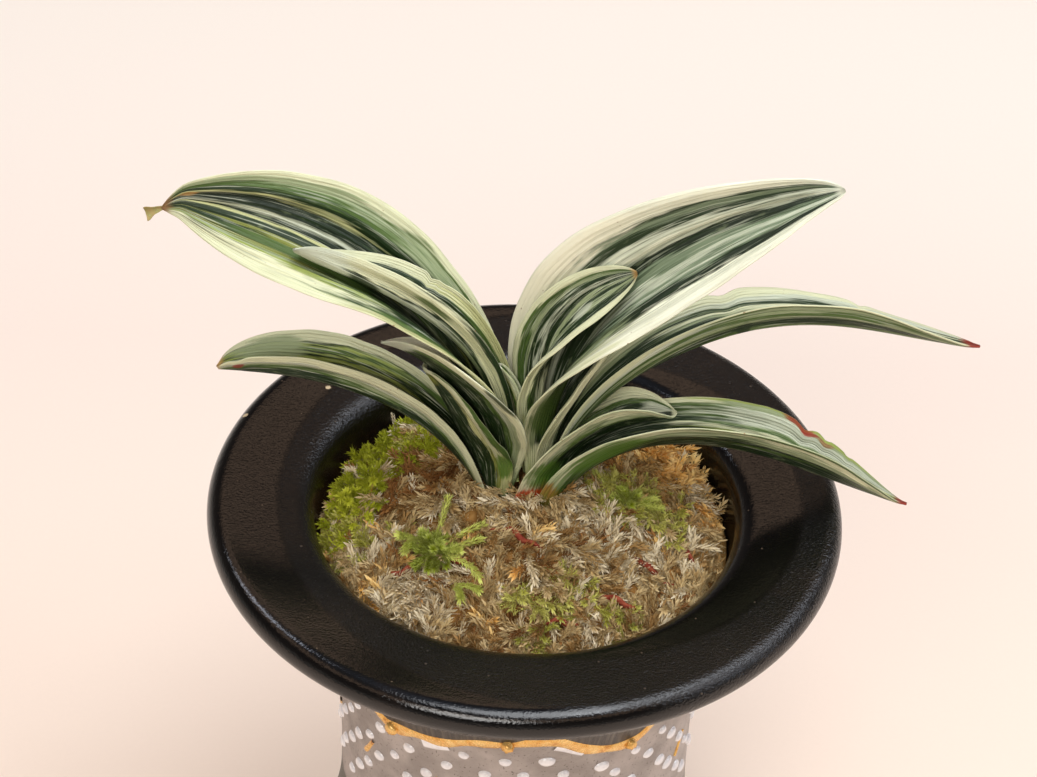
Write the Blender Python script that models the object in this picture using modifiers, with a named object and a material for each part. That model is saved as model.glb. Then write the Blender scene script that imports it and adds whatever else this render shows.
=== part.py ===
"""A potted Japanese sacred lily: a two-ranked fan of pleated, pale-edged leaves in a brimmed pot.

Lengths below are in millimetres and become metres as they are placed. +Z is up and -Y is the front.
The origin lies on the surface that the pot stands on, under the middle of the whole plant's box, so
the pot's own axis stands a little to one side of it. Levels are measured from a line just under the
top of the brim.
"""

import math
import random
from dataclasses import dataclass

import bmesh
import bpy
import numpy as np
from mathutils import Matrix, Vector

MM = 0.001
SEED = 41
SHARP_ANGLE = 40.0

# The pot's axis in the object's frame, and the height of level zero
AXIS_X = -10.4
AXIS_Y = 0.0
ZERO_HEIGHT = 128.0

# Pot
TURN_STEPS = 40
BRIM_RADIUS = 67.1
BRIM_LEVEL = 2.1
BEAD_RADIUS = 3.7
BRIM_DISH = 0.8
MOUTH_ROLL = 5.0
MOUTH_WALL = 44.5
WELL = ((44.5, -3.7), (43.4, -12.0), (40.6, -22.0), (37.2, -32.0), (35.3, -46.0), (35.0, -66.0),
        (36.6, -86.0), (38.4, -102.0), (36.5, -110.5), (33.0, -113.5))
OUTSIDE = ((53.0, -6.6), (49.6, -9.2), (47.2, -16.0), (43.4, -27.0), (40.2, -38.0), (39.2, -52.0),
           (38.9, -74.0), (39.6, -86.0), (42.0, -100.0), (42.2, -112.0), (39.0, -119.0))
DRAIN_RADIUS = 6.0
FLOOR_LEVEL = -113.5
BASE_LEVEL = -119.5
FOOT_ANGLES = (90.0, 210.0, 330.0)
FOOT_RADIUS = 35.0
FOOT_SIZE = (11.0, 20.0, 11.0)
FOOT_ROUND = 3.2
FOOT_TAPER = 0.82

# Raised slip dots on the body band
DOT_ROWS = 3
DOTS_IN_ROW = 22
DOT_TOP_LEVEL = -47.0
DOT_ROW_PITCH = 9.5
DOT_RADIUS = 2.0
DOT_HEIGHT = 0.8
DOT_ROOT = 1.0
DOT_TOP_SHARE = 0.45
DOT_SIDES = 6

# Moss, grit and rhizome
CLEARANCE = 0.4
MOSS_EDGE_LEVEL = -9.6
MOSS_CROWN_RISE = 15.5
MOSS_DOME_POWER = 1.6
MOSS_RADIUS = 44.0
MOSS_RINGS = 8
MOSS_SHOULDER = -12.0
MOSS_BOTTOM = -21.6
MOSS_LUMPS = 90
LUMP_HEIGHT = 1.1
LUMP_SPREAD = 3.6
CROWN_HOLE = (11.0, 9.4)
CROWN_FLOOR = -5.0
STEM_HOLE = 8.4
GRIT_TOP = -22.0
GRIT_WALL_LEVELS = (GRIT_TOP, -32.0, -46.0, -66.0, -86.0, -102.0, -110.5, -113.1)
ROOT_HOLE_SIDES = 8
STEM_SOCKET = ((0.0, -34.2), (6.4, -32.6), (8.4, -27.4), (STEM_HOLE, GRIT_TOP))
RHIZOME_SHAPE = ((0.0, 8.0), (0.7, 7.2), (1.5, 4.8), (2.4, 2.3), (3.8, -0.6), (5.2, -3.6), (7.0, -6.6),
                 (7.8, -12.0), (7.8, -20.0), (7.4, -27.0), (5.4, -31.5), (0.0, -33.0))
ROOTS = 6
ROOT_TOP = -26.0
ROOT_SIDES = 6
RHIZOME_STEPS = 20
ROOT_RADIUS = 1.5
ROOT_RING = 3.4
ROOT_LENGTH = 62.0
ROOT_SPLAY = 14.0

# Leaves
LEAF_THICKNESS = 0.65
PLEAT_HEIGHT = 0.3
PLEATS_PER_HALF = 2
KEEL_OPENS = 0.45
LEAST_HALF = 0.3
LEFT = -1
RIGHT = 1


@dataclass(frozen=True)
class LeafForm:
    """One leaf: a keel that climbs from the rhizome, with a folded half on each side of it.

    rise, near_fold, far_fold and roll are spread along the keel as Bezier values, in degrees.
    """

    name: str
    side: int
    sheath: float
    foot: float
    start: float
    length: float
    rise: tuple
    swing: float
    near: float
    far: float
    near_fold: tuple
    far_fold: tuple
    roll: tuple
    widest: float
    narrow: float
    taper: float
    rows: int
    halves: int
    keel_radius: float = 2.5
    pleats: float = PLEAT_HEIGHT


LEAVES = (
    LeafForm("leaf_left_1", LEFT, sheath=2.8036956130636836, foot=4.2, start=7.4, length=103.2,
             rise=(80, 56, 30, 1), swing=6, near=14.2, far=14.3,
             near_fold=(90, 26, 23, 3), far_fold=(90, 19, 40, 37), roll=(-15, -58),
             widest=0.62, narrow=0.3, taper=0.8, rows=20, halves=6),
    LeafForm("leaf_left_2", LEFT, sheath=1.6061499758846634, foot=3.1, start=7.7, length=79.0,
             rise=(78, 92, 4, 39), swing=-7, near=7.9, far=8.5,
             near_fold=(90, 81, 73, 66), far_fold=(90, 93, 64, 45), roll=(-21, 57),
             widest=0.62, narrow=0.3, taper=0.52, rows=14, halves=5),
    LeafForm("leaf_left_3", LEFT, sheath=4.133765477963323, foot=5.3, start=3.2, length=49.7,
             rise=(76, 72, 65, 18), swing=-7, near=15.2, far=8.9,
             near_fold=(90, 57, 21, 25), far_fold=(90, 43, 25, 20), roll=(-5, 34),
             widest=0.55, narrow=0.3, taper=0.78, rows=14, halves=5),
    LeafForm("leaf_left_4", LEFT, sheath=5.688389539762686, foot=6.7, start=-0.1, length=39.5,
             rise=(76, 57, 76, 59), swing=-3, near=11.3, far=8.9,
             near_fold=(90, 57, 41, 48), far_fold=(90, 60, 42, 32), roll=(-1, 6),
             widest=0.42, narrow=0.49, taper=0.5, rows=14, halves=5),
    LeafForm("leaf_left_5", LEFT, sheath=5.5247160348814415, foot=8.2, start=-3.0, length=72.5,
             rise=(83, 36, 5, -5), swing=6, near=9.3, far=10.5,
             near_fold=(90, 71, 68, 59), far_fold=(90, 83, 53, 44), roll=(14, 9),
             widest=0.67, narrow=0.39, taper=0.48, rows=20, halves=6),
    LeafForm("leaf_right_1", RIGHT, sheath=3.2061936531345157, foot=2.6, start=5.1, length=103.4,
             rise=(84, 90, 15, 23), swing=4, near=13.7, far=17.0,
             near_fold=(90, 41, -20, 47), far_fold=(90, 19, 62, 65), roll=(-60, -27),
             widest=0.46, narrow=0.3, taper=0.7, rows=20, halves=6),
    LeafForm("leaf_right_2", RIGHT, sheath=2.0160974376138325, foot=1.7, start=8.8, length=59.8,
             rise=(81, 112, 64, 25), swing=0, near=8.2, far=8.1,
             near_fold=(90, 79, 34, -9), far_fold=(90, 50, 53, 19), roll=(-30, -46),
             widest=0.53, narrow=0.3, taper=0.64, rows=14, halves=5),
    LeafForm("leaf_right_3", RIGHT, sheath=4.679404017506813, foot=3.6, start=2.9, length=51.4,
             rise=(88, 70, 72, 48), swing=-1, near=8.3, far=7.1,
             near_fold=(90, 23, 19, 32), far_fold=(90, 30, 31, 31), roll=(-12, 2),
             widest=0.52, narrow=0.33, taper=0.9, rows=14, halves=5),
    LeafForm("leaf_right_4", RIGHT, sheath=4.212137656202061, foot=5.0, start=1.6, length=121.4,
             rise=(91, 35, -48, -18), swing=20, near=8.5, far=9.6,
             near_fold=(90, 64, 47, 29), far_fold=(90, 67, 14, 22), roll=(40, 6),
             widest=0.52, narrow=0.3, taper=0.75, rows=20, halves=6),
    LeafForm("leaf_right_5", RIGHT, sheath=5.92798994783635, foot=6.3, start=0.4, length=38.9,
             rise=(99, 49, 33, 5), swing=1, near=13.2, far=7.5,
             near_fold=(90, 13, 73, 56), far_fold=(90, 28, 50, 38), roll=(6, -11),
             widest=0.72, narrow=0.88, taper=0.91, rows=14, halves=5),
    LeafForm("leaf_right_6", RIGHT, sheath=6.875759781175204, foot=7.6, start=-2.3, length=89.7,
             rise=(94, -20, -39, -24), swing=6, near=12.3, far=9.4,
             near_fold=(90, 29, 70, 38), far_fold=(90, 59, 70, 30), roll=(0, 10),
             widest=0.56, narrow=0.8, taper=0.97, rows=20, halves=6),
    LeafForm("bud_leaf", LEFT, sheath=0.5000008245701647, foot=1.2, start=9.9, length=27.8,
             rise=(94, 81, 82, 56), swing=1, near=2.2, far=2.2,
             near_fold=(90, 100, 98, 81), far_fold=(90, 100, 100, 82), roll=(-8, 8),
             widest=0.64, narrow=0.39, taper=0.4, rows=14, halves=5, keel_radius=1.0, pleats=0.0),
)


def place(x, y, level):
    """Metres in the object's frame, from millimetres about the pot's axis at level zero."""
    return Vector(((AXIS_X + x) * MM, (AXIS_Y + y) * MM, (ZERO_HEIGHT + level) * MM))


def clear_scene():
    for thing in list(bpy.data.objects):
        bpy.data.objects.remove(thing, do_unlink=True)


def new_collection(name):
    collection = bpy.data.collections.new(name)
    bpy.context.scene.collection.children.link(collection)
    return collection


def glaze(name, colour, roughness, metallic=0.0):
    material = bpy.data.materials.new(name)
    material.use_nodes = True
    shader = material.node_tree.nodes["Principled BSDF"]
    shader.inputs["Base Color"].default_value = (*colour, 1.0)
    shader.inputs["Roughness"].default_value = roughness
    shader.inputs["Metallic"].default_value = metallic
    return material


def add_mesh(name, work, collection, material=None, smooth=True):
    """Turns a bmesh into an object of the collection."""
    bmesh.ops.recalc_face_normals(work, faces=work.faces)
    mesh = bpy.data.meshes.new(name)
    work.to_mesh(mesh)
    work.free()
    if smooth:
        mesh.shade_smooth()
        mesh.set_sharp_from_angle(angle=math.radians(SHARP_ANGLE))
    thing = bpy.data.objects.new(name, mesh)
    collection.objects.link(thing)
    if material:
        mesh.materials.append(material)
    return thing


def bake(thing):
    """Replaces an object's mesh with what its modifiers make of it."""
    shape = bpy.data.meshes.new_from_object(thing.evaluated_get(bpy.context.evaluated_depsgraph_get()))
    thing.modifiers.clear()
    thing.data = shape


def arc(centre_x, centre_z, radius, start, end, count):
    """Points on an arc, from one angle to the other in degrees."""
    points = []
    for i in range(count + 1):
        angle = math.radians(start + (end - start) * i / count)
        points.append((centre_x + radius * math.cos(angle), centre_z + radius * math.sin(angle)))
    return points


def radius_at(profile, level):
    """The radius of a profile of falling levels, between its points."""
    for (upper_r, upper_z), (lower_r, lower_z) in zip(profile, profile[1:]):
        if level >= lower_z:
            part = (upper_z - level) / (upper_z - lower_z)
            return upper_r + (lower_r - upper_r) * max(part, 0.0)
    return profile[-1][0]


def turned(name, profile, collection, material, closed, steps=TURN_STEPS):
    """A solid turned about the pot's axis from a profile that runs down its outer side."""
    work = bmesh.new()
    points = [work.verts.new((r * MM, 0.0, level * MM)) for r, level in profile]
    for first, second in zip(points, points[1:]):
        work.edges.new((first, second))
    if closed:
        work.edges.new((points[-1], points[0]))
    mesh = bpy.data.meshes.new(name)
    work.to_mesh(mesh)
    work.free()
    thing = bpy.data.objects.new(name, mesh)
    thing.location = place(0.0, 0.0, 0.0)
    collection.objects.link(thing)
    turn = thing.modifiers.new("Turn", "SCREW")
    turn.steps = steps
    turn.render_steps = steps
    turn.use_merge_vertices = True
    turn.merge_threshold = 0.00001
    turn.use_smooth_shade = True
    mesh.materials.append(material)
    return thing


def union_with(thing, collection):
    """Joins everything in a collection to an object, and removes the collection's objects."""
    join = thing.modifiers.new("Join", "BOOLEAN")
    join.operation = "UNION"
    join.operand_type = "COLLECTION"
    join.collection = collection
    join.solver = "EXACT"
    bake(thing)
    for extra in list(collection.objects):
        bpy.data.objects.remove(extra, do_unlink=True)


def pot_profile():
    """The pot's section: bead, underside, neck, band, skirt, base, drain, floor, well and mouth."""
    bead_centre = BRIM_RADIUS - BEAD_RADIUS
    roll_centre = MOUTH_WALL + MOUTH_ROLL
    bead = arc(bead_centre, BRIM_LEVEL - BEAD_RADIUS, BEAD_RADIUS, 90.0, -90.0, 8)
    base = [(DRAIN_RADIUS, BASE_LEVEL), (DRAIN_RADIUS, FLOOR_LEVEL)]
    roll = arc(roll_centre, BRIM_LEVEL - BRIM_DISH - MOUTH_ROLL, MOUTH_ROLL, 180.0, 90.0, 4)
    return bead + list(OUTSIDE) + base + list(reversed(WELL))[:-1] + roll


def add_foot(angle, collection):
    """A short foot, sunk into the base and flat underneath."""
    work = bmesh.new()
    bmesh.ops.create_cube(work, size=1.0)
    depth, width, height = FOOT_SIZE
    for corner in work.verts:
        narrowing = FOOT_TAPER if corner.co.z < 0.0 else 1.0
        corner.co.x *= depth * narrowing * MM
        corner.co.y *= width * narrowing * MM
        corner.co.z *= height * MM
    upright = [edge for edge in work.edges if abs(edge.verts[0].co.z - edge.verts[1].co.z) > 0.001]
    bmesh.ops.bevel(work, geom=upright, offset=FOOT_ROUND * MM, segments=2, profile=0.5, affect="EDGES")
    turn = Matrix.Rotation(math.radians(angle), 4, "Z")
    middle = place(0.0, 0.0, height / 2.0 - ZERO_HEIGHT)
    work.transform(Matrix.Translation(middle) @ turn @ Matrix.Translation((FOOT_RADIUS * MM, 0.0, 0.0)))
    return add_mesh("foot", work, collection)


def add_dot(angle, level, collection):
    """A low faceted dome of slip, rooted in the body."""
    work = bmesh.new()
    wall = radius_at(OUTSIDE, level)
    bmesh.ops.create_cone(
        work, cap_ends=True, segments=DOT_SIDES, radius1=DOT_RADIUS * MM, radius2=DOT_RADIUS * DOT_TOP_SHARE * MM,
        depth=(DOT_HEIGHT + DOT_ROOT) * MM)
    outward = Matrix.Rotation(math.radians(90.0), 4, "Y")
    turn = Matrix.Rotation(math.radians(angle), 4, "Z")
    reach = (wall + (DOT_HEIGHT - DOT_ROOT) / 2.0) * MM
    standing = Matrix.Translation(place(0.0, 0.0, level)) @ turn
    work.transform(standing @ Matrix.Translation((reach, 0.0, 0.0)) @ outward)
    return add_mesh("dot", work, collection)


def build_pot(collection, extras, material):
    pot = turned("pot", pot_profile(), collection, material, closed=True)
    bake(pot)
    for angle in FOOT_ANGLES:
        add_foot(angle, extras)
    for row in range(DOT_ROWS):
        for i in range(DOTS_IN_ROW):
            add_dot((i + 0.5 * (row % 2)) * 360.0 / DOTS_IN_ROW, DOT_TOP_LEVEL - row * DOT_ROW_PITCH, extras)
    union_with(pot, extras)
    pot.data.shade_smooth()
    pot.data.set_sharp_from_angle(angle=math.radians(SHARP_ANGLE))
    return pot


def moss_level(x, y, lumps):
    """The height of the moss over a point: a low dome with soft lumps on it."""
    radius = math.hypot(x, y)
    level = MOSS_EDGE_LEVEL + MOSS_CROWN_RISE * (1.0 - min(radius / MOSS_RADIUS, 1.0) ** MOSS_DOME_POWER)
    swell = 0.0
    for lump_x, lump_y, height in lumps:
        away = ((x - lump_x) ** 2 + (y - lump_y) ** 2) / LUMP_SPREAD ** 2
        swell = max(swell, height * math.exp(-away))
    return level + swell


def build_moss(collection, material):
    """The moss mat: lumpy on top, against the pot's wall outside, with a plain hole for the crown."""
    draw = random.Random(SEED)
    lumps = []
    for _ in range(MOSS_LUMPS):
        reach = MOSS_RADIUS * math.sqrt(draw.random())
        angle = draw.uniform(0.0, 2.0 * math.pi)
        lumps.append((reach * math.cos(angle), reach * math.sin(angle), LUMP_HEIGHT * draw.uniform(0.3, 1.0)))
    work = bmesh.new()
    columns = []
    for i in range(TURN_STEPS):
        angle = 2.0 * math.pi * i / TURN_STEPS
        ray = (math.cos(angle), math.sin(angle))
        hole = 1.0 / math.hypot(ray[0] / CROWN_HOLE[0], ray[1] / CROWN_HOLE[1])
        edge = radius_at(WELL, MOSS_EDGE_LEVEL) - CLEARANCE
        column = []
        for ring in range(MOSS_RINGS + 1):
            reach = hole + (edge - hole) * ring / MOSS_RINGS
            x, y = reach * ray[0], reach * ray[1]
            level = moss_level(x, y, lumps) if ring < MOSS_RINGS else MOSS_EDGE_LEVEL
            column.append((x, y, level))
        for level in (MOSS_SHOULDER, MOSS_BOTTOM):
            reach = radius_at(WELL, level) - CLEARANCE
            column.append((reach * ray[0], reach * ray[1], level))
        column.append((STEM_HOLE * ray[0], STEM_HOLE * ray[1], MOSS_BOTTOM))
        column.append((STEM_HOLE * ray[0], STEM_HOLE * ray[1], CROWN_FLOOR - 1.0))
        column.append((hole * ray[0], hole * ray[1], CROWN_FLOOR))
        columns.append([work.verts.new(place(*point)) for point in column])
    count = len(columns[0])
    for i, column in enumerate(columns):
        following = columns[(i + 1) % TURN_STEPS]
        for j in range(count):
            k = (j + 1) % count
            work.faces.new((column[j], column[k], following[k], following[j]))
    return add_mesh("moss_bed", work, collection, material)


def root_ray(index):
    """A root's turn about the axis, which its splay leans it along."""
    return 360.0 * (index + 0.25) / ROOTS


def add_root(index, radius, length, collection, sides):
    """A straight tapering root that leaves the foot of the rhizome."""
    work = bmesh.new()
    bmesh.ops.create_cone(
        work, cap_ends=True, segments=sides, radius1=radius * 0.6 * MM, radius2=radius * MM, depth=length * MM)
    lean = Matrix.Rotation(math.radians(-ROOT_SPLAY), 4, "Y")
    turn = Matrix.Rotation(math.radians(root_ray(index)), 4, "Z")
    top = Matrix.Translation((ROOT_RING * MM, 0.0, 0.0)) @ lean @ Matrix.Translation((0.0, 0.0, -length / 2.0 * MM))
    work.transform(Matrix.Translation(place(0.0, 0.0, ROOT_TOP)) @ turn @ top)
    return add_mesh("root", work, collection)


def build_rhizome(collection, extras, material):
    rhizome = turned("rhizome", RHIZOME_SHAPE, collection, material, closed=False, steps=RHIZOME_STEPS)
    bake(rhizome)
    for index in range(ROOTS):
        add_root(index, ROOT_RADIUS, ROOT_LENGTH, extras, ROOT_SIDES)
    union_with(rhizome, extras)
    return rhizome


def build_grit(collection, extras, material):
    """The grit that fills the pot under the moss, with plain holes for the rhizome and its roots."""
    floor = FLOOR_LEVEL + CLEARANCE
    wall = [(radius_at(WELL, level) - CLEARANCE, level) for level in GRIT_WALL_LEVELS]
    grit = turned("potting_grit", list(STEM_SOCKET) + wall + [(0.0, floor)], collection, material, closed=False)
    bake(grit)
    for index in range(ROOTS):
        add_root(index, ROOT_RADIUS + CLEARANCE, ROOT_LENGTH + 1.0, extras, ROOT_HOLE_SIDES)
    cut = grit.modifiers.new("Root holes", "BOOLEAN")
    cut.operation = "DIFFERENCE"
    cut.operand_type = "COLLECTION"
    cut.collection = extras
    cut.solver = "EXACT"
    bake(grit)
    for extra in list(extras.objects):
        bpy.data.objects.remove(extra, do_unlink=True)
    return grit


def bezier(values, along):
    """Bezier values spread over 0 to 1, read at each place along."""
    last = len(values) - 1
    total = np.zeros_like(along)
    for i, value in enumerate(values):
        total += math.comb(last, i) * along**i * (1.0 - along) ** (last - i) * value
    return total


def ease(value):
    part = np.clip(value, 0.0, 1.0)
    return part * part * (3.0 - 2.0 * part)


def keel_frames(form, along):
    """The keel's points, and the sideways and upward directions of the leaf at each of them."""
    rise = np.radians(bezier(form.rise, along))
    heading = np.radians(form.swing) * ease(along / 0.5)
    still = np.zeros_like(along)
    outward = np.stack([form.side * np.cos(heading), np.sin(heading), still], axis=1)
    frontward = np.stack([form.side * np.sin(heading), -np.cos(heading), still], axis=1)
    upward = np.array((0.0, 0.0, 1.0))
    travel = np.cos(rise)[:, None] * outward + np.sin(rise)[:, None] * upward
    inward = np.cos(rise)[:, None] * upward - np.sin(rise)[:, None] * outward
    roll = np.radians(bezier((0.0, 0.0, *form.roll), along))[:, None]
    front = np.cos(roll) * frontward + np.sin(roll) * inward
    face = np.cos(roll) * inward - np.sin(roll) * frontward
    steps = (travel[1:] + travel[:-1]) / 2.0 * form.length / (len(along) - 1)
    start = np.array((form.side * form.foot, 0.0, form.start))
    points = start + np.vstack([np.zeros(3), np.cumsum(steps, axis=0)])
    return points, front, face


def leaf_width(form, along):
    """The share of its full width that each half has along the leaf."""
    growing = form.narrow + (1.0 - form.narrow) * np.sin(math.pi / 2.0 * np.clip(along / form.widest, 0.0, 1.0)) ** 1.3
    beyond = np.clip((along - form.widest) / (1.0 - form.widest), 0.0, 1.0)
    closing = np.maximum(1.0 - beyond**1.8, 1e-6) ** form.taper
    return np.where(along < form.widest, growing, closing)


def half_section(width, fold, radius, count):
    """Points across one half: round the keel first, then straight at the fold's angle."""
    step = width / count
    middles = (np.arange(count) + 0.5) * step
    bend = np.minimum(middles / radius, fold)
    sideways = np.concatenate([[0.0], np.cumsum(np.cos(bend) * step)])
    upwards = np.concatenate([[0.0], np.cumsum(np.sin(bend) * step)])
    return sideways, upwards


def leaf_points(form):
    """The leaf's middle surface, row by row, from the far edge over the keel to the near edge."""
    along = np.linspace(0.0, 1.0, form.rows)
    points, front, face = keel_frames(form, along)
    share = leaf_width(form, along)
    near_fold = np.radians(bezier(form.near_fold, along))
    far_fold = np.radians(bezier(form.far_fold, along))
    opened = ease(along / KEEL_OPENS)
    radius = form.sheath * (1.0 - opened) + form.keel_radius * opened
    rows = []
    for i in range(form.rows):
        out, up = half_section(max(form.near * share[i], LEAST_HALF), near_fold[i], radius[i], form.halves)
        near = points[i] + out[:, None] * front[i] + up[:, None] * face[i]
        out, up = half_section(max(form.far * share[i], LEAST_HALF), far_fold[i], radius[i], form.halves)
        far = points[i] - out[:, None] * front[i] + up[:, None] * face[i]
        rows.append(np.vstack([far[::-1], near[1:]]))
    sheet = np.array(rows)
    return sheet + pleat_offsets(form, sheet, along)


def pleat_offsets(form, sheet, along):
    """Lengthwise ridges: each point moves along the surface's own normal, in waves across the leaf."""
    across = np.abs(np.linspace(-1.0, 1.0, sheet.shape[1]))
    waves = np.sin(2.0 * math.pi * PLEATS_PER_HALF * across) * (across < 0.99)
    rising = ease((along - 0.3) / 0.25) * ease((1.0 - along) / 0.3)
    normal = np.cross(np.gradient(sheet, axis=0), np.gradient(sheet, axis=1))
    normal /= np.linalg.norm(normal, axis=-1, keepdims=True) + 1e-12
    return normal * (form.pleats * rising[:, None] * waves[None, :])[:, :, None]


def build_leaf(form, collection, material):
    """A leaf's sheet, split into triangles and thickened, so that both faces are split alike."""
    sheet = leaf_points(form)
    work = bmesh.new()
    grid = [[work.verts.new(place(*point)) for point in row] for row in sheet]
    for lower, upper in zip(grid, grid[1:]):
        for j in range(len(lower) - 1):
            work.faces.new((lower[j], upper[j], upper[j + 1]))
            work.faces.new((lower[j], upper[j + 1], lower[j + 1]))
    leaf = add_mesh(form.name, work, collection, material)
    thicken = leaf.modifiers.new("Thickness", "SOLIDIFY")
    thicken.thickness = LEAF_THICKNESS * MM
    thicken.offset = 0.0
    thicken.use_even_offset = True
    return leaf


def main():
    clear_scene()
    plant = new_collection("potted_sacred_lily")
    extras = new_collection("cutters")
    build_pot(plant, extras, glaze("stoneware", (0.035, 0.033, 0.035), 0.2))
    build_moss(plant, glaze("sphagnum", (0.52, 0.42, 0.22), 0.95))
    build_grit(plant, extras, glaze("pumice", (0.36, 0.28, 0.2), 0.95))
    build_rhizome(plant, extras, glaze("rhizome", (0.45, 0.3, 0.16), 0.8))
    green = glaze("leaf_green", (0.05, 0.16, 0.09), 0.45)
    young = glaze("young_leaf", (0.35, 0.45, 0.2), 0.45)
    for form in LEAVES:
        build_leaf(form, plant, young if form.name == "bud_leaf" else green)


main()
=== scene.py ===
"""Dresses a potted Japanese sacred lily: striped pleated leaves, a moss mat and a brimmed glazed pot.

Sizes are in millimetres about the pot's axis, with levels measured from a line just under the top of the
brim, and they become metres as they are placed. +Z is up and -Y is the front.
"""

from __future__ import annotations

import logging
import math
from dataclasses import dataclass
from enum import Enum
from typing import Callable, Sequence

import bpy
import numpy as np
from mathutils import Matrix, Vector


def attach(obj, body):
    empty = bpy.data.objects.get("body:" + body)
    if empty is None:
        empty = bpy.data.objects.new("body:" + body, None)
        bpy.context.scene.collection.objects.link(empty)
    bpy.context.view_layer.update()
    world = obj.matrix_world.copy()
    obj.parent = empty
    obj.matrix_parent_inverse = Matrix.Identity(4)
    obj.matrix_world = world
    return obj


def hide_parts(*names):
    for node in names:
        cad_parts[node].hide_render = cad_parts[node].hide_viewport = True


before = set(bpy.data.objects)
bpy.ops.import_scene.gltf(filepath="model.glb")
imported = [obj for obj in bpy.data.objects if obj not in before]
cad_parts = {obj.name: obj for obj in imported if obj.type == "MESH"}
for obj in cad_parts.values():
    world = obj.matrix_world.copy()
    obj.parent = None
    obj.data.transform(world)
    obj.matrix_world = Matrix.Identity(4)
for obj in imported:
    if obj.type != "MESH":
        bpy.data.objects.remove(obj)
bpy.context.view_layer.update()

LOG = logging.getLogger("sacred_lily")
MM = 0.001
AXIS = np.array((-10.4, 0.0, 128.0))
BODY = "root"
Colour = tuple[float, float, float]
Triple = tuple[int, int, int]
Curve = Sequence[tuple[float, float]]
Stops = Sequence[tuple[float, Colour]]


def tint(red: float, green: float, blue: float) -> Colour:
    """Turns a colour picked on a screen, 0 to 255, into the linear one that shaders use."""
    return tuple((c / 255 / 12.92) if c < 10.3 else ((c / 255 + 0.055) / 1.055) ** 2.4
                 for c in (red, green, blue))


class Paint:
    """Colours of this plant and its pot, by name."""

    DEEP = tint(16, 33, 10)
    DARK = tint(27, 47, 17)
    MID = tint(76, 100, 44)
    OLIVE = tint(126, 132, 58)
    BLUE = tint(116, 132, 104)
    BLOOM = tint(150, 162, 122)
    FROST = tint(200, 206, 182)
    MILK = tint(248, 245, 218)
    FRESH = tint(88, 126, 44)
    LIME = tint(152, 166, 84)
    STRAW = tint(194, 195, 138)
    CREAM = tint(217, 219, 180)
    IVORY = tint(232, 233, 208)
    RUSSET = tint(150, 50, 34)
    EMBER = tint(204, 74, 26)
    TAN = tint(150, 112, 72)
    AMBER = tint(196, 154, 90)


class Face(Enum):
    """The two faces of a leaf."""

    INNER = 0
    OUTER = 1


class Signal:
    """A node's output that takes part in sums; each sum adds a Math node."""

    def __init__(self, bench: Bench, socket: bpy.types.NodeSocket) -> None:
        """Keeps the socket and the bench it belongs to."""
        self.bench = bench
        self.socket = socket

    def __add__(self, other: Value) -> Signal:
        """This plus other."""
        return self.bench.maths("ADD", self, other)

    def __radd__(self, other: Value) -> Signal:
        """Other plus this."""
        return self.bench.maths("ADD", other, self)

    def __sub__(self, other: Value) -> Signal:
        """This less other."""
        return self.bench.maths("SUBTRACT", self, other)

    def __rsub__(self, other: Value) -> Signal:
        """Other less this."""
        return self.bench.maths("SUBTRACT", other, self)

    def __mul__(self, other: Value) -> Signal:
        """This times other."""
        return self.bench.maths("MULTIPLY", self, other)

    def __pow__(self, other: Value) -> Signal:
        """This to the power of other."""
        return self.bench.maths("POWER", self, other)


Value = Signal | float | tuple


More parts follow.
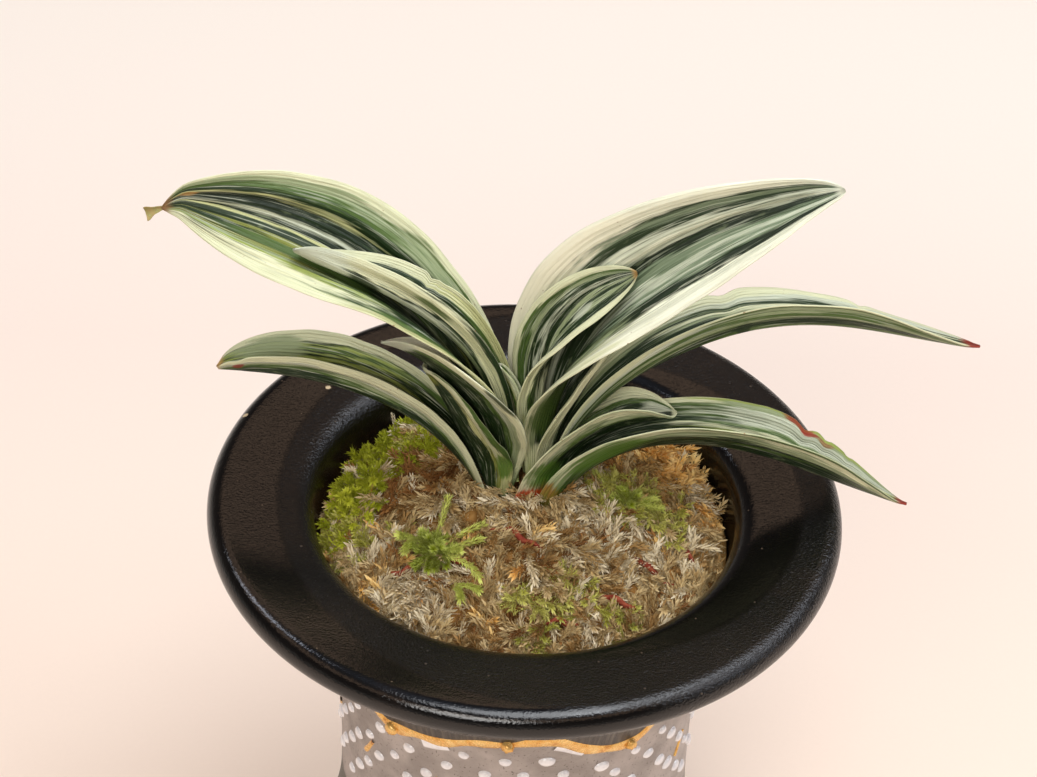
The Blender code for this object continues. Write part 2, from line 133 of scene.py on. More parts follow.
class Bench:
    """Where one node material is put together."""

    def __init__(self, name: str) -> None:
        """Starts an empty material of that name."""
        self.material = bpy.data.materials.new(name)
        self.material.use_nodes = True
        self.tree = self.material.node_tree
        self.tree.nodes.clear()

    def node(self, kind: str, settings: dict | None = None, sockets: dict | None = None,
             output: int | str = 0) -> Signal:
        """Adds any node.

        Args:
            kind: the node's type.
            settings: its own settings, set first; "stops" fills a colour ramp.
            sockets: values or signals for its input sockets, by name or place.
            output: the output socket that is wanted.

        Returns:
            The wanted output as a signal.
        """
        made = self.tree.nodes.new(kind)
        for key, value in (settings or {}).items():
            if key == "stops":
                self.fill_ramp(made.color_ramp, value)
            else:
                setattr(made, key, value)
        for key, value in (sockets or {}).items():
            socket = made.inputs[key]
            if isinstance(value, Signal):
                self.tree.links.new(value.socket, socket)
            elif isinstance(value, tuple) and len(socket.default_value) == 4:
                socket.default_value = (*value[:3], 1.0)
            else:
                socket.default_value = value
        return Signal(self, made.outputs[output])

    @staticmethod
    def fill_ramp(ramp: bpy.types.ColorRamp, stops: Stops) -> None:
        """Gives a ramp its stops, in order of place.

        Args:
            ramp: the ramp.
            stops: place and colour of each stop.
        """
        while len(ramp.elements) < len(stops):
            ramp.elements.new(1.0)
        for element, (place, colour) in zip(ramp.elements, stops):
            element.position = place
            element.color = (*colour, 1.0)

    def maths(self, operation: str, first: Value, second: Value = 0.0) -> Signal:
        """One Math node."""
        return self.node("ShaderNodeMath", {"operation": operation}, {0: first, 1: second})

    def measure(self, name: str) -> Signal:
        """A number stored on the mesh's points."""
        return self.node("ShaderNodeAttribute", {"attribute_name": name}, output="Fac")

    def place(self) -> Signal:
        """Where the surface is, in metres in the object's frame."""
        return self.node("ShaderNodeTexCoord", output="Object")

    def height(self) -> Signal:
        """Level above the brim's top, in millimetres."""
        return self.node("ShaderNodeSeparateXYZ", None, {0: self.place()}, "Z") * 1000.0 - float(AXIS[2])

    def trio(self, x: Value, y: Value, z: Value = 0.0) -> Signal:
        """A vector from three numbers."""
        return self.node("ShaderNodeCombineXYZ", None, {0: x, 1: y, 2: z})

    def noise(self, vector: Signal, scale: float, detail: float = 3.0, roughness: float = 0.55) -> Signal:
        """Cloudy noise from 0 to 1, mostly near 0.5."""
        return self.node("ShaderNodeTexNoise", None,
                         {"Vector": vector, "Scale": scale, "Detail": detail, "Roughness": roughness})

    def step(self, value: Value, start: float, end: float) -> Signal:
        """A soft step from 0 at start to 1 at end; start may be the larger.

        Args:
            value: what is read.
            start: where the step starts.
            end: where it ends.

        Returns:
            The step.
        """
        if start > end:
            return 1.0 - self.step(value, end, start)
        return self.node("ShaderNodeMapRange", {"interpolation_type": "SMOOTHSTEP"},
                         {"Value": value, "From Min": start, "From Max": end})

    def ramp(self, value: Value, stops: Stops) -> Signal:
        """Colours laid out along a value."""
        return self.node("ShaderNodeValToRGB", {"stops": stops}, {0: value})

    def blend(self, first: Value, second: Value, factor: Value) -> Signal:
        """Mixes two colours by a factor; sockets 6 and 7 and output 2 are the node's colour ones."""
        return self.node("ShaderNodeMix", {"data_type": "RGBA"}, {0: factor, 6: first, 7: second}, 2)

    def shade(self, colour: Signal, share: Value) -> Signal:
        """Makes a colour lighter or darker."""
        return self.node("ShaderNodeVectorMath", {"operation": "SCALE"}, {0: colour, "Scale": share})

    def bump(self, height: Signal, strength: float, depth: float) -> Signal:
        """A bump normal; depth is in millimetres."""
        return self.node("ShaderNodeBump", None,
                         {"Strength": strength, "Distance": depth * MM, "Height": height})

    def voronoi(self, vector: Signal, scale: float) -> Signal:
        """How far the surface is from the nearest of many scattered points, in cells."""
        return self.node("ShaderNodeTexVoronoi", None, {"Vector": vector, "Scale": scale}, "Distance")

    def length(self, vector: Signal) -> Signal:
        """A vector's length, from metres to millimetres."""
        return self.node("ShaderNodeVectorMath", {"operation": "LENGTH"}, {0: vector}, "Value") * 1000.0

    def finish(self, colour: Value, roughness: Value, normal: Signal | None = None,
               **fixed: Value) -> bpy.types.Material:
        """Closes the material with its surface shader.

        Args:
            colour: the base colour.
            roughness: the roughness.
            normal: a bump's normal.
            fixed: plain values for other sockets, with _ for a space.

        Returns:
            The finished material.
        """
        sockets = {"Base Color": colour, "Roughness": roughness}
        if normal:
            sockets["Normal"] = normal
        for key, value in fixed.items():
            sockets[key.replace("_", " ")] = value
        surface = self.node("ShaderNodeBsdfPrincipled", None, sockets)
        out = self.tree.nodes.new("ShaderNodeOutputMaterial")
        self.tree.links.new(surface.socket, out.inputs["Surface"])
        return self.material


def to_frame(points: np.ndarray) -> np.ndarray:
    """Millimetres about the pot's axis into metres in the object's frame."""
    return (np.asarray(points, float) + AXIS) * MM


def unit(vectors: np.ndarray) -> np.ndarray:
    """Vectors made one long."""
    return vectors / (np.linalg.norm(vectors, axis=-1, keepdims=True) + 1e-12)


def glide(points: np.ndarray, places: np.ndarray) -> np.ndarray:
    """A smooth curve through rows of points, read at places counted in rows.

    Args:
        points: the rows of points.
        places: where the curve is read.

    Returns:
        The curve at those places.
    """
    slopes = np.gradient(points, axis=0)
    low = np.clip(np.floor(places).astype(int), 0, len(points) - 2)
    part = (places - low).reshape(-1, *([1] * (points.ndim - 1)))
    here, there = points[low], points[low + 1]
    return ((2 * part**3 - 3 * part**2 + 1) * here + (part**3 - 2 * part**2 + part) * slopes[low]
            + (3 * part**2 - 2 * part**3) * there + (part**3 - part**2) * slopes[low + 1])


def ease(value: np.ndarray) -> np.ndarray:
    """A soft rise from 0 to 1."""
    part = np.clip(value, 0.0, 1.0)
    return part * part * (3.0 - 2.0 * part)


def bezier(values: Sequence[float], along: np.ndarray) -> np.ndarray:
    """Bezier values spread over 0 to 1, read at each place along."""
    last = len(values) - 1
    return sum(math.comb(last, i) * along**i * (1.0 - along) ** (last - i) * value
               for i, value in enumerate(values))


def wander(x: np.ndarray, draw: np.random.Generator, waves: int, slowest: float, fastest: float) -> np.ndarray:
    """A gently irregular line between about -1 and 1 along x.

    Args:
        x: where it is read.
        draw: random numbers.
        waves: how many waves are summed.
        slowest: the least turns of a wave, in radians.
        fastest: the most.

    Returns:
        The line.
    """
    total = np.zeros_like(x)
    for _ in range(waves):
        total = total + np.sin(draw.uniform(slowest, fastest) * x + draw.uniform(0.0, math.tau))
    return total / math.sqrt(waves)


def add_piece(name: str, points: np.ndarray, faces: np.ndarray, material: bpy.types.Material,
              slot: str, stands_for: str | None = None, measures: dict[str, np.ndarray] | None = None,
              smooth: bool = True) -> bpy.types.Object:
    """Makes one named piece that rides with the plant.

    Args:
        name: the piece's name.
        points: its points, in millimetres about the pot's axis.
        faces: corner numbers, one row a face.
        material: its finish.
        slot: the record's slot for that finish; it is not used.
        stands_for: the solid that it stands for, if any.
        measures: numbers to store on its points, by name.
        smooth: whether its faces are shaded smooth.

    Returns:
        The piece.
    """
    faces = np.asarray(faces, dtype=np.int32)
    mesh = bpy.data.meshes.new(name)
    mesh.vertices.add(len(points))
    mesh.vertices.foreach_set("co", to_frame(points).astype(np.float32).ravel())
    mesh.loops.add(faces.size)
    mesh.loops.foreach_set("vertex_index", faces.ravel())
    mesh.polygons.add(len(faces))
    mesh.polygons.foreach_set("loop_start", np.arange(0, faces.size, faces.shape[1], dtype=np.int32))
    mesh.update(calc_edges=True)
    mesh.validate()
    for key, values in (measures or {}).items():
        layer = mesh.attributes.new(key, "FLOAT", "POINT")
        layer.data.foreach_set("value", np.asarray(values, np.float32).ravel())
    if smooth:
        mesh.shade_smooth()
    mesh.materials.append(material)
    piece = bpy.data.objects.new(name, mesh)
    bpy.context.scene.collection.objects.link(piece)
    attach(piece, BODY)
    if stands_for:
        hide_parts(stands_for)
    LOG.info("%s: %d faces", name, len(faces))
    return piece


def tiles(rows: int, columns: int, round_rows: bool = False, round_columns: bool = False) -> np.ndarray:
    """Four-cornered faces over a grid of points, which may close on itself either way.

    Args:
        rows: rows of the grid.
        columns: columns of the grid.
        round_rows: whether the last row meets the first.
        round_columns: whether the last column does.

    Returns:
        The faces.
    """
    i, j = np.meshgrid(np.arange(rows if round_rows else rows - 1),
                       np.arange(columns if round_columns else columns - 1), indexing="ij")
    i, j = i.ravel(), j.ravel()
    up, over = (i + 1) % rows, (j + 1) % columns
    return np.stack([i * columns + j, i * columns + over, up * columns + over, up * columns + j], axis=1)


def sleeve(rows: int, columns: int, rims: int) -> np.ndarray:
    """Faces of a flat closed sleeve, whose rings go along one face and back along the other.

    Args:
        rows: how many rings there are.
        columns: points along each face of a ring.
        rims: points between the faces on each side, 0 or 1.

    Returns:
        The faces, both ends closed.
    """
    count = 2 * (columns + rims)
    faces = [tiles(rows, count, round_columns=True)]
    for row, turn in ((0, 1), (rows - 1, -1)):
        cap = [(rims + j, rims + 1 + j, count - 2 - j, count - 1 - j)[::turn] for j in range(columns - 1)]
        faces.append(np.array(cap) + row * count)
    return np.vstack(faces)


class Heap:
    """Points and faces of many small shapes, gathered for one piece."""

    def __init__(self) -> None:
        """Starts with nothing."""
        self.points: list[np.ndarray] = []
        self.faces: list[np.ndarray] = []
        self.count = 0

    def add(self, points: np.ndarray, faces: np.ndarray) -> None:
        """Puts one more shape on the heap."""
        self.points.append(points)
        self.faces.append(faces + self.count)
        self.count += len(points)

    def merged(self) -> tuple[np.ndarray, np.ndarray]:
        """All the points and all the faces."""
        return np.vstack(self.points), np.vstack(self.faces)


@dataclass(frozen=True)
class Patch:
    """A soft-edged patch of one colour on a leaf: its place, its reach along and across, and its face."""

    along: float
    across: float
    reach: tuple[float, float]
    colour: Colour
    face: Face = Face.INNER


@dataclass(frozen=True)
class Stripes:
    """Colours across one face, low down and higher up.

    Each is written from the far edge to the near one: names of colours, with the border between two of them in
    hundredths of the half width, from -100 to 100.
    """

    low: str
    high: str

    softness = 0.02

    def stops(self, text: str) -> Stops:
        """Turns written stripes into a ramp's soft-edged stops.

        Args:
            text: the stripes, as written.

        Returns:
            The stops, spread over the ramp's own 0 to 1.
        """
        words = text.split()
        colours = [getattr(Paint, word.upper()) for word in words[::2]]
        stops = [(-1.0, colours[0])]
        for border, before, after in zip(map(int, words[1::2]), colours, colours[1:]):
            stops += [(border / 100 - self.softness, before), (border / 100 + self.softness, after)]
        return [(min(max(place * 0.5 + 0.5, 0.0), 1.0), colour) for place, colour in stops]


@dataclass(frozen=True)
class LeafFinish:
    """The skin of one leaf: stripes that start and stop, fine veins, bloom, freckles and a dry tip."""

    inner: Stripes
    outer: Stripes
    patches: tuple[Patch, ...] = ()
    tip: Colour = Paint.TAN
    tip_start: float = 0.975
    base: Colour = Paint.LIME
    base_end: float = 0.12
    seed: float = 0.0
    change: float = 0.45
    strokes: float = 0.5

    def material(self, name: str) -> bpy.types.Material:
        """Puts the leaf's material together.

        Args:
            name: the material's name.

        Returns:
            The material.
        """
        bench = Bench(name)
        along, across, outer = bench.measure("along"), bench.measure("across"), bench.measure("outer")

        def grain(wide: float, long: float, offset: float, detail: float = 3.0,
                  roughness: float = 0.55) -> Signal:
            """Noise drawn out along the leaf, in cells over the half width and over the length."""
            spot = bench.trio(across * wide, along * long, self.seed + offset)
            return bench.noise(spot, 1.0, detail, roughness)

        broad = grain(3.4, 3.0, 0.0) - 0.5
        streak = grain(13.0, 5.6, 7.0, 3.0, 0.62) - 0.5
        thread = grain(50.0, 13.0, 3.0, 2.0) - 0.5
        mottle = grain(9.0, 18.0, 11.0)
        pale = grain(32.0, 6.0, 19.0, 3.0, 0.6)
        deep = grain(24.0, 5.0, 29.0, 3.0, 0.6)
        drift = bench.noise(bench.trio(along * 2.6, self.seed + 41.0), 1.0, 2.0) - 0.5
        reading = (across + drift * 0.3 + broad * 0.26 + streak * 0.2 + thread * 0.08) * 0.5 + 0.5
        switch = bench.step(along + streak * 0.7 + broad * 0.2, self.change - 0.09, self.change + 0.09)
        faces = [bench.blend(bench.ramp(reading, stripes.stops(stripes.low)),
                             bench.ramp(reading, stripes.stops(stripes.high)), switch)
                 for stripes in (self.inner, self.outer)]
        colour = bench.blend(faces[0], faces[1], outer)
        inside = bench.step(bench.maths("ABSOLUTE", across), 0.92, 0.66)
        colour = bench.blend(colour, Paint.FROST, bench.step(pale, 0.53, 0.68) * inside * self.strokes)
        colour = bench.blend(colour, Paint.DARK, bench.step(deep, 0.54, 0.66) * inside * self.strokes * 1.2)
        colour = bench.blend(colour, Paint.BLOOM, bench.step(mottle, 0.58, 0.7) * inside * 0.3)
        colour = bench.shade(colour, 1.0 + thread * 0.6 + streak * 0.3)
        fray = (mottle - 0.5) * 1.6 + streak * 2.4
        for patch in self.patches:
            colour = bench.blend(colour, patch.colour, self._shown(bench, patch, along, across, outer, fray))
        foot = bench.step(along + streak * 0.12, self.base_end, self.base_end * 0.25)
        colour = bench.blend(colour, self.base, foot * 0.8)
        dry = bench.step(along + (mottle - 0.5) * 0.03, self.tip_start - 0.01, self.tip_start + 0.012)
        colour = bench.blend(colour, self.tip, dry)
        colour = bench.blend(colour, Paint.TAN, self._freckles(bench, along, across))
        veins = bench.maths("SINE", across * 88.0 + streak * 6.0) * 0.4 + thread * 1.6 + (mottle - 0.5) * 0.8
        return bench.finish(colour, 0.36 + mottle * 0.22 - thread * 0.2, bench.bump(veins, 0.7, 0.16),
                            Specular_IOR_Level=0.34)

    @staticmethod
    def _shown(bench: Bench, patch: Patch, along: Signal, across: Signal, outer: Signal,
               fray: Signal) -> Signal:
        """How much of a patch shows at each place.

        Args:
            bench: where the material is put together.
            patch: the patch.
            along: place along the leaf.
            across: place across it.
            outer: 1 on the outer face.
            fray: what makes the patch's border uneven.

        Returns:
            The share of the patch's colour.
        """
        away = (((along - patch.along) * (1.0 / patch.reach[0])) ** 2.0
                + ((across - patch.across) * (1.0 / patch.reach[1])) ** 2.0)
        shown = bench.step(away + fray, 1.5, 0.4) * 0.9
        return shown * outer if patch.face is Face.OUTER else shown * (1.0 - outer)

    @staticmethod
    def _freckles(bench: Bench, along: Signal, across: Signal) -> Signal:
        """Sparse tiny brown specks, most of them near the edges.

        Args:
            bench: where the material is put together.
            along: place along the leaf.
            across: place across it.

        Returns:
            How much of a speck shows.
        """
        spots = bench.voronoi(bench.trio(across * 9.0, along * 34.0), 1.0)
        edge = bench.step(bench.maths("ABSOLUTE", across), 0.6, 0.95)
        return bench.step(spots, 0.085, 0.05) * edge * 0.7


@dataclass(frozen=True)
class Notch:
    """A nick in a leaf's edge; side is -1 for the far edge and 1 for the near one."""

    side: int
    along: float
    depth: float
    width: float


@dataclass(frozen=True)
class Blade:
    """One leaf: a keel that climbs from the rhizome, with a folded half on each side of it.

    Attributes:
        name: the solid that it stands for.
        side: -1 for the left rank and 1 for the right one.
        sheath: radius of the fold at the leaf's foot.
        foot: how far from the pot's axis the keel starts.
        start: the level at which it starts.
        length: the keel's length.
        rise: the keel's climb, as Bezier values in degrees; so are the next three.
        near_fold: how far the near half stands up from the keel.
        far_fold: how far the far half does.
        roll: how far the leaf turns about its keel, after two values of 0.
        swing: how far the keel heads off sideways, in degrees.
        near: full width of the near half.
        far: full width of the far half.
        widest: place of the full width, as a share of the length.
        narrow: share of the width at the foot.
        taper: power of the taper to the tip; a larger one makes a finer tip.
        finish: the leaf's skin.
        rows: points that lay out the keel.
        halves: steps across each half.
        keel_radius: radius of the fold away from the foot.
        pleats: height of the long pleats.
        slot: the record's slot for the finish.
        notches: nicks in the edges.
        corrugation: height of the fine folds near the keel.
        hook: how far the very tip bends down.
    """

    name: str
    side: int
    sheath: float
    foot: float
    start: float
    length: float
    rise: tuple[float, ...]
    swing: float
    near: float
    far: float
    near_fold: tuple[float, ...]
    far_fold: tuple[float, ...]
    roll: tuple[float, ...]
    widest: float
    narrow: float
    taper: float
    finish: LeafFinish
    rows: int = 14
    halves: int = 5
    keel_radius: float = 2.5
    pleats: float = 0.36
    slot: str = "leaf"
    notches: tuple[Notch, ...] = ()
    corrugation: float = 0.08
    hook: float = 0.0

    fine_rows = 104
    fine_halves = 19
    thickness = 0.62
    rim_share = 0.8
    least_half = 0.3
    opened_by = 0.45
    ribs, rib_height = 31.0, 0.075
    folds = 20.5
    frill_height = 0.16
    hook_start = 0.955

    def build(self) -> bpy.types.Object:
        """Makes the leaf with its two faces, rounded rim and finish."""
        sheet = self.sheet()
        rows, columns = sheet.shape[:2]
        across = np.linspace(-1.0, 1.0, columns)
        along = np.linspace(0.0, 1.0, rows)
        normal = unit(np.cross(np.gradient(sheet, axis=0), np.gradient(sheet, axis=1)))
        normal *= -1.0 if self.side > 0 else 1.0
        half = self.thickness / 2.0 * (1.0 - 0.5 * np.abs(across) ** 4)[None, :, None]
        inner, outer = sheet + normal * half, sheet - normal * half
        far_rim = sheet[:, :1] + unit(sheet[:, :1] - sheet[:, 1:2]) * half[:, :1] * self.rim_share
        near_rim = sheet[:, -1:] + unit(sheet[:, -1:] - sheet[:, -2:-1]) * half[:, -1:] * self.rim_share
        rings = np.concatenate([far_rim, inner, near_rim, outer[:, ::-1]], axis=1)
        count = rings.shape[1]
        places = np.concatenate([[-1.0], across, [1.0], across[::-1]])
        sides = np.concatenate([[0.5], np.zeros(columns), [0.5], np.ones(columns)])
        measures = {"along": np.repeat(along, count), "across": np.tile(places, rows),
                    "outer": np.tile(sides, rows)}
        return add_piece(self.name + "_blade", rings.reshape(-1, 3), sleeve(rows, columns, 1),
                         self.finish.material(self.name + "_skin"), self.slot, self.name, measures)

    def sheet(self) -> np.ndarray:
        """The leaf's middle surface, row by row, from the far edge over the keel to the near edge."""
        along = np.linspace(0.0, 1.0, self.fine_rows)
        points = glide(self._keel(np.linspace(0.0, 1.0, self.rows)), along * (self.rows - 1))
        _, front, face = self._directions(along)
        share = self._width(along)
        opened = ease(along / self.opened_by)
        radius = self.sheath * (1.0 - opened) + self.keel_radius * opened
        draw = np.random.default_rng(len(self.name) * 7 + int(self.length * 10))
        across = np.linspace(-1.0, 1.0, 2 * self.fine_halves + 1)
        edges = {side: self._edge(side, along, draw) for side in (-1, 1)}
        rows = []
        for i in range(len(along)):
            line = []
            for width, folds, way in ((self.far, self.far_fold, -1.0), (self.near, self.near_fold, 1.0)):
                fold = math.radians(bezier(folds, along[i:i + 1])[0])
                out, up = self._half(max(width * share[i], self.least_half), fold, radius[i])
                line.append(points[i] + way * out[:, None] * front[i] + up[:, None] * face[i])
            section = np.vstack([line[0][::-1], line[1][1:]])
            reach = np.where(across < 0.0, edges[-1][i], edges[1][i])
            rows.append(glide(section, (across * reach + 1.0) * self.halves))
        return self._relief(np.array(rows), along, across, draw)

    def _directions(self, along: np.ndarray) -> tuple[np.ndarray, np.ndarray, np.ndarray]:
        """The keel's direction, and the leaf's sideways and upward ones, at each place along.

        Args:
            along: places along the keel.

        Returns:
            The three directions.
        """
        rise = np.radians(bezier(self.rise, along))[:, None]
        heading = np.radians(self.swing) * ease(along / 0.5)
        still = np.zeros_like(along)
        outward = np.stack([self.side * np.cos(heading), np.sin(heading), still], axis=1)
        frontward = np.stack([self.side * np.sin(heading), -np.cos(heading), still], axis=1)
        upward = np.array((0.0, 0.0, 1.0))
        inward = np.cos(rise) * upward - np.sin(rise) * outward
        roll = np.radians(bezier((0.0, 0.0, *self.roll), along))[:, None]
        return (np.cos(rise) * outward + np.sin(rise) * upward,
                np.cos(roll) * frontward + np.sin(roll) * inward,
                np.cos(roll) * inward - np.sin(roll) * frontward)

    def _keel(self, along: np.ndarray) -> np.ndarray:
        """Points of the keel line.

        Args:
            along: evenly spaced places.

        Returns:
            The points.
        """
        travel = self._directions(along)[0]
        steps = (travel[1:] + travel[:-1]) / 2.0 * self.length / (len(along) - 1)
        foot = np.array((self.side * self.foot, 0.0, self.start))
        return foot + np.vstack([np.zeros(3), np.cumsum(steps, axis=0)])

    def _width(self, along: np.ndarray) -> np.ndarray:
        """The share of its full width that each half has along the leaf.

        Args:
            along: places along the leaf.

        Returns:
            The shares.
        """
        risen = np.sin(math.pi / 2.0 * np.clip(along / self.widest, 0.0, 1.0)) ** 1.3
        growing = self.narrow + (1.0 - self.narrow) * risen
        beyond = np.clip((along - self.widest) / (1.0 - self.widest), 0.0, 1.0)
        return np.where(along < self.widest, growing, np.maximum(1.0 - beyond**1.8, 1e-6) ** self.taper)

    def _half(self, width: float, fold: float, radius: float) -> tuple[np.ndarray, np.ndarray]:
        """Points across one half: round the keel first, then straight at the fold's angle.

        Args:
            width: the width of the half.
            fold: the angle that it folds by.
            radius: the radius of the fold.

        Returns:
            How far out and how far up each point is.
        """
        step = width / self.halves
        bend = np.minimum((np.arange(self.halves) + 0.5) * step / radius, fold)
        return (np.concatenate([[0.0], np.cumsum(np.cos(bend) * step)]),
                np.concatenate([[0.0], np.cumsum(np.sin(bend) * step)]))

    def _edge(self, side: int, along: np.ndarray, draw: np.random.Generator) -> np.ndarray:
        """How far the blade reaches towards one edge, with its nicks and slight waves.

        Args:
            side: -1 for the far edge and 1 for the near one.
            along: places along the leaf.
            draw: random numbers.

        Returns:
            The reach, up to 1.
        """
        reach = 1.0 - 0.006 * (1.0 + wander(along, draw, 4, 20.0, 70.0)) * ease((along - 0.25) / 0.2)
        for notch in self.notches:
            if notch.side == side:
                reach = reach - notch.depth * np.exp(-((along - notch.along) / notch.width) ** 2)
        return np.minimum(reach, 1.0)

    def _relief(self, sheet: np.ndarray, along: np.ndarray, across: np.ndarray,
                draw: np.random.Generator) -> np.ndarray:
        """Adds pleats, veins and a slight wave of the edges, along the surface's own normal.

        Args:
            sheet: the smooth middle surface.
            along: places along it.
            across: places across it.
            draw: random numbers.

        Returns:
            The surface with its relief.
        """
        rising = (ease((along - 0.22) / 0.25) * ease((1.0 - along) / 0.3))[:, None]
        reach = np.abs(across)[None, :]
        drift = wander(along, draw, 3, 2.0, 7.0)[:, None] * 0.035
        pleats = np.sin(4.0 * math.pi * np.clip(reach + drift * (1.0 - reach) * 2.0, 0.0, 1.0)) * self.pleats
        ribs = np.sin(across[None, :] * self.ribs + drift * 30.0 + draw.uniform(0.0, 6.0)) * self.rib_height
        frill = (reach**4 * wander(along, draw, 5, 9.0, 40.0)[:, None] * self.frill_height
                 * (1.0 if self.pleats else 0.2))
        free = (ease((along - 0.4) / 0.2) * ease((1.0 - along) / 0.12))[:, None]
        folds = np.sin(across[None, :] * self.folds + 0.6 + drift * 25.0) * (1.0 - reach**3) * self.corrugation
        normal = unit(np.cross(np.gradient(sheet, axis=0), np.gradient(sheet, axis=1)))
        bent = sheet + normal * (rising * (pleats + ribs + frill) + free * folds)[:, :, None]
        hooked = np.clip((along - self.hook_start) / (1.0 - self.hook_start), 0.0, 1.0)
        bent[:, :, 2] -= self.hook * (hooked**1.4)[:, None]
        return bent


BACK_LOW = "cream -80 bloom -62 dark -30 mid -16 dark 12 mid 28 dark 60 bloom 74 cream"
BACK_HIGH = "ivory -78 bloom -60 dark -44 blue -30 dark -12 bloom 2 mid 22 dark 40 blue 52 mid 70 cream"

